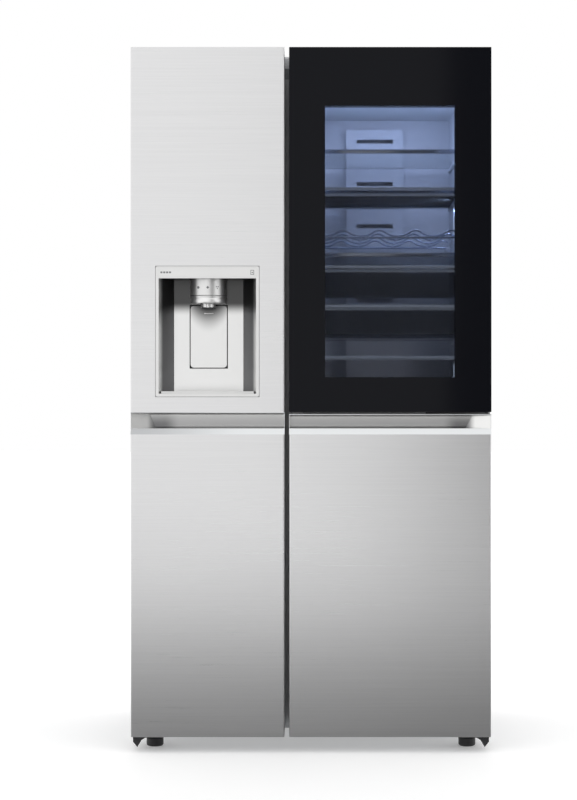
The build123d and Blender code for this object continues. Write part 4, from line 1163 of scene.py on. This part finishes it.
@dataclass
class Dispenser:
    """Frame, head, paddle and marks of the water and ice dispenser."""

    palette: Palette
    head_y: float = -0.302
    head_radius: float = 0.047
    mark_height: float = 1.179
    mark_step: float = 0.0242
    ring_height: float = 1.1460
    brim_height: float = 1.1570
    joint_height: float = 1.1588
    mouth_back: float = 0.016
    cup_height: float = 1.1335
    lip_height: float = 1.1285
    spout_back: float = 0.0315
    bar_half: float = 0.012
    bar_z: tuple[float, float] = (1.1137, 1.1161)
    gap_shadow_reach: float = 0.0489
    gap_shadow_wide: float = 0.0022
    gap_shadow_play: float = 0.0002
    joint_out: float = 0.0009
    dash_start: float = 0.006
    dash_length: float = 0.0052
    dash_step: float = 0.0072
    dash_half: float = 0.0022
    mark_y: tuple[float, float] = (-0.0002, 0.0006)

    def dress(self) -> None:
        """Gives the dispenser's CAD nodes their finishes."""
        dress = self.palette.dress
        dress("silver_plastic", "dispenser_frame", "dispenser_display", "drip_tray")
        dress("head_metal", "dispenser_head")
        dress("recess_steel", "dispenser_cavity")
        dress("paddle_steel", "dispenser_paddle")

    def on_head(self, angle: float, height: float, radius: float, sides: int) -> bpy.types.Object:
        """A thin mark on the round head, facing outwards.

        Args:
            angle: turn about the head's axis, 0 at the front.
            height: height of its middle.
            radius: its own radius.
            sides: number of its sides.

        Returns:
            The mark.
        """
        low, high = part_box("dispenser_display")
        centre_x = (low.x + high.x) / 2
        reach = self.head_radius
        place = (centre_x + reach * math.sin(angle), self.head_y - reach * math.cos(angle), height)
        Shop.clear()
        bpy.ops.mesh.primitive_cylinder_add(vertices=sides, radius=radius, depth=0.0008,
                                            location=place, rotation=(math.pi / 2, 0.0, angle))
        mark = Shop.settle(bpy.context.object, "mark")
        Shop.round_edges(mark, 0.0001, 1)
        return mark

    def head_marks(self) -> None:
        """Plain touch marks: a dot, a square and a cluster of specks."""
        parts = []
        for step in (-1, 0, 1):
            angle = math.asin(step * self.mark_step / self.head_radius)
            if step < 0:
                parts.append(self.on_head(angle, self.mark_height, 0.0034, 24))
            elif step == 0:
                parts.append(self.on_head(angle, self.mark_height, 0.0038, 4))
            else:
                for turn, rise in ((-0.05, 0.0022), (0.05, 0.0022), (0.0, -0.0022)):
                    parts.append(self.on_head(angle + turn, self.mark_height + rise, 0.0016, 6))
        marks = Shop.joined("dispenser_touch_marks", parts)
        self.palette.fit(marks, "mark_ink", "freezer_door", "dark_plastic")

    def bright_ring(self) -> None:
        """The bright ring, its brim and the dark joint at the bottom of the head."""
        low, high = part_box("dispenser_display")
        x = (low.x + high.x) / 2
        ring = Shop.disc("dispenser_bright_ring", (x, self.head_y, self.ring_height),
                         self.head_radius - 0.0004, 0.0165, "Z", 0.004, 64)
        self.palette.fit(ring, "ring_metal", "freezer_door", "dispenser_silver")
        brim = Shop.disc("dispenser_brim", (x, self.head_y, self.brim_height),
                         self.head_radius + 0.0012, 0.0018, "Z", 0.0005, 64)
        self.palette.fit(brim, "ring_metal", "freezer_door", "dispenser_silver")
        joint = Shop.disc("dispenser_brim_joint", (x, self.head_y, self.joint_height),
                          self.head_radius + 0.0005, 0.0014, "Z", 0.0003, 64)
        self.palette.fit(joint, "dark_plastic", "freezer_door", "dark_plastic")

    def mouth(self) -> None:
        """The black mouth and the spout under the head."""
        low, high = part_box("dispenser_display")
        x = (low.x + high.x) / 2
        y = self.head_y - self.mouth_back
        lip = Shop.collar("lip", (x, y, self.lip_height), 0.0150, 0.0022)
        cup = Shop.disc("cup", (x, y, self.cup_height), 0.0187, 0.010, "Z", 0.003, 40)
        mouth = Shop.joined("dispenser_mouth", [lip, cup])
        self.palette.fit(mouth, "dark_plastic", "freezer_door", "dark_plastic")
        spout = Shop.disc("dispenser_spout", (x, self.head_y - self.spout_back, self.cup_height),
                          0.0054, 0.012, "Z", 0.0015, 32)
        self.palette.fit(spout, "head_metal", "freezer_door", "dispenser_silver")

    def paddle_line(self) -> None:
        """The short raised bar near the top of the paddle."""
        low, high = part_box("dispenser_paddle")
        x = (low.x + high.x) / 2
        bottom, top = self.bar_z
        bar = Shop.bar("paddle_bar", (x - self.bar_half, low.y - 0.0012, bottom),
                       (x + self.bar_half, low.y + 0.001, top), 0.0006, 2)
        self.palette.fit(bar, "head_metal", "paddle", "dispenser_silver")

    def seals(self) -> None:
        """A black ring round the paddle that stands in for the shaded gap round it, and the dark
        joint round the frame.
        """
        low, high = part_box("dispenser_paddle")
        x = (low.x + high.x) / 2
        reach, wide, play = self.gap_shadow_reach, self.gap_shadow_wide, self.gap_shadow_play
        # painted shadow: a black ring stands in for the shaded gap round the paddle
        seal = Shop.panel_frame("paddle_gap_shadow", (x - reach, low.y + 0.0004, low.z - wide - play),
                                (x + reach, low.y + 0.0042, high.z + wide + play), wide,
                                0.0003, 0.009)
        self.palette.fit(seal, "black_gloss", "freezer_door", "dark_plastic")
        low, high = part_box("dispenser_frame")
        out = self.joint_out
        joint = Shop.panel_frame("dispenser_frame_joint",
                                 (low.x - out, low.y + 0.0003, low.z - out),
                                 (high.x + out, low.y + 0.0013, high.z + out), out * 1.2, 0.0001,
                                 0.004)
        self.palette.fit(joint, "grey_plastic", "freezer_door", "grey_plastic")

    def band_marks(self) -> None:
        """Plain status marks at the two ends of the display band."""
        low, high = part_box("dispenser_display")
        middle = (low.z + high.z) / 2
        front, back = (low.y + y for y in self.mark_y)
        starts = [low.x + self.dash_start + step * self.dash_step for step in range(4)]
        bars = [Shop.bar("dash", (x, front, middle - self.dash_half),
                         (x + self.dash_length, back, middle + self.dash_half), 0.0002, 1)
                for x in starts]
        box = Shop.panel_frame("box", (high.x - 0.0155, front, middle - 0.006),
                               (high.x - 0.0065, back, middle + 0.006), 0.0014, 0.0002)
        dot = Shop.bar("dot", (high.x - 0.0125, front, middle - 0.002),
                       (high.x - 0.0095, back, middle + 0.001), 0.0002, 1)
        marks = Shop.joined("dispenser_band_marks", [*bars, box, dot])
        self.palette.fit(marks, "mark_ink", "freezer_door", "dark_plastic")

    def build(self) -> None:
        """Dresses the dispenser and adds its small pieces."""
        self.dress()
        self.head_marks()
        self.bright_ring()
        self.mouth()
        self.paddle_line()
        self.seals()
        self.band_marks()


@dataclass
class WindowDoor:
    """The outer door with its black glass and its window."""

    palette: Palette
    plan: WindowPlan = field(default_factory=WindowPlan)

    def dress(self) -> None:
        """Gives the outer door's CAD nodes their finishes."""
        self.palette.dress("black_window_glass", "outer_door_glass")
        self.palette.dress("dark_plastic", "outer_door_frame")
        self.palette.dress("black_gloss", "release_button")

    def spacer(self) -> None:
        """The dark spacer that holds the panes apart round the window."""
        low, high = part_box("outer_door_frame")
        plan = self.plan
        edge = 0.0075
        ring = Shop.panel_frame("window_spacer", (plan.left - edge, low.y + 0.0005, plan.low - edge),
                                (plan.right + edge, high.y - 0.0065, plan.high + edge),
                                edge - 0.0008, 0.0006)
        self.palette.fit(ring, "black_gloss", "outer_door", "dark_plastic")

    def build(self) -> None:
        """Dresses the outer door and adds the spacer."""
        self.dress()
        self.spacer()


def main() -> None:
    """Builds the studio and every sub-assembly, in order."""
    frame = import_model()
    Studio().build()
    palette = Palette(frame)
    for part in (Cabinet(palette), ColdRooms(palette), DoorInsides(palette), SteelFronts(palette),
                 Dispenser(palette), WindowDoor(palette)):
        part.build()
        LOG.info("built %s", type(part).__name__)
    Shop.clear()


if __name__ == "__main__":
    logging.basicConfig(level=logging.INFO)
    main()
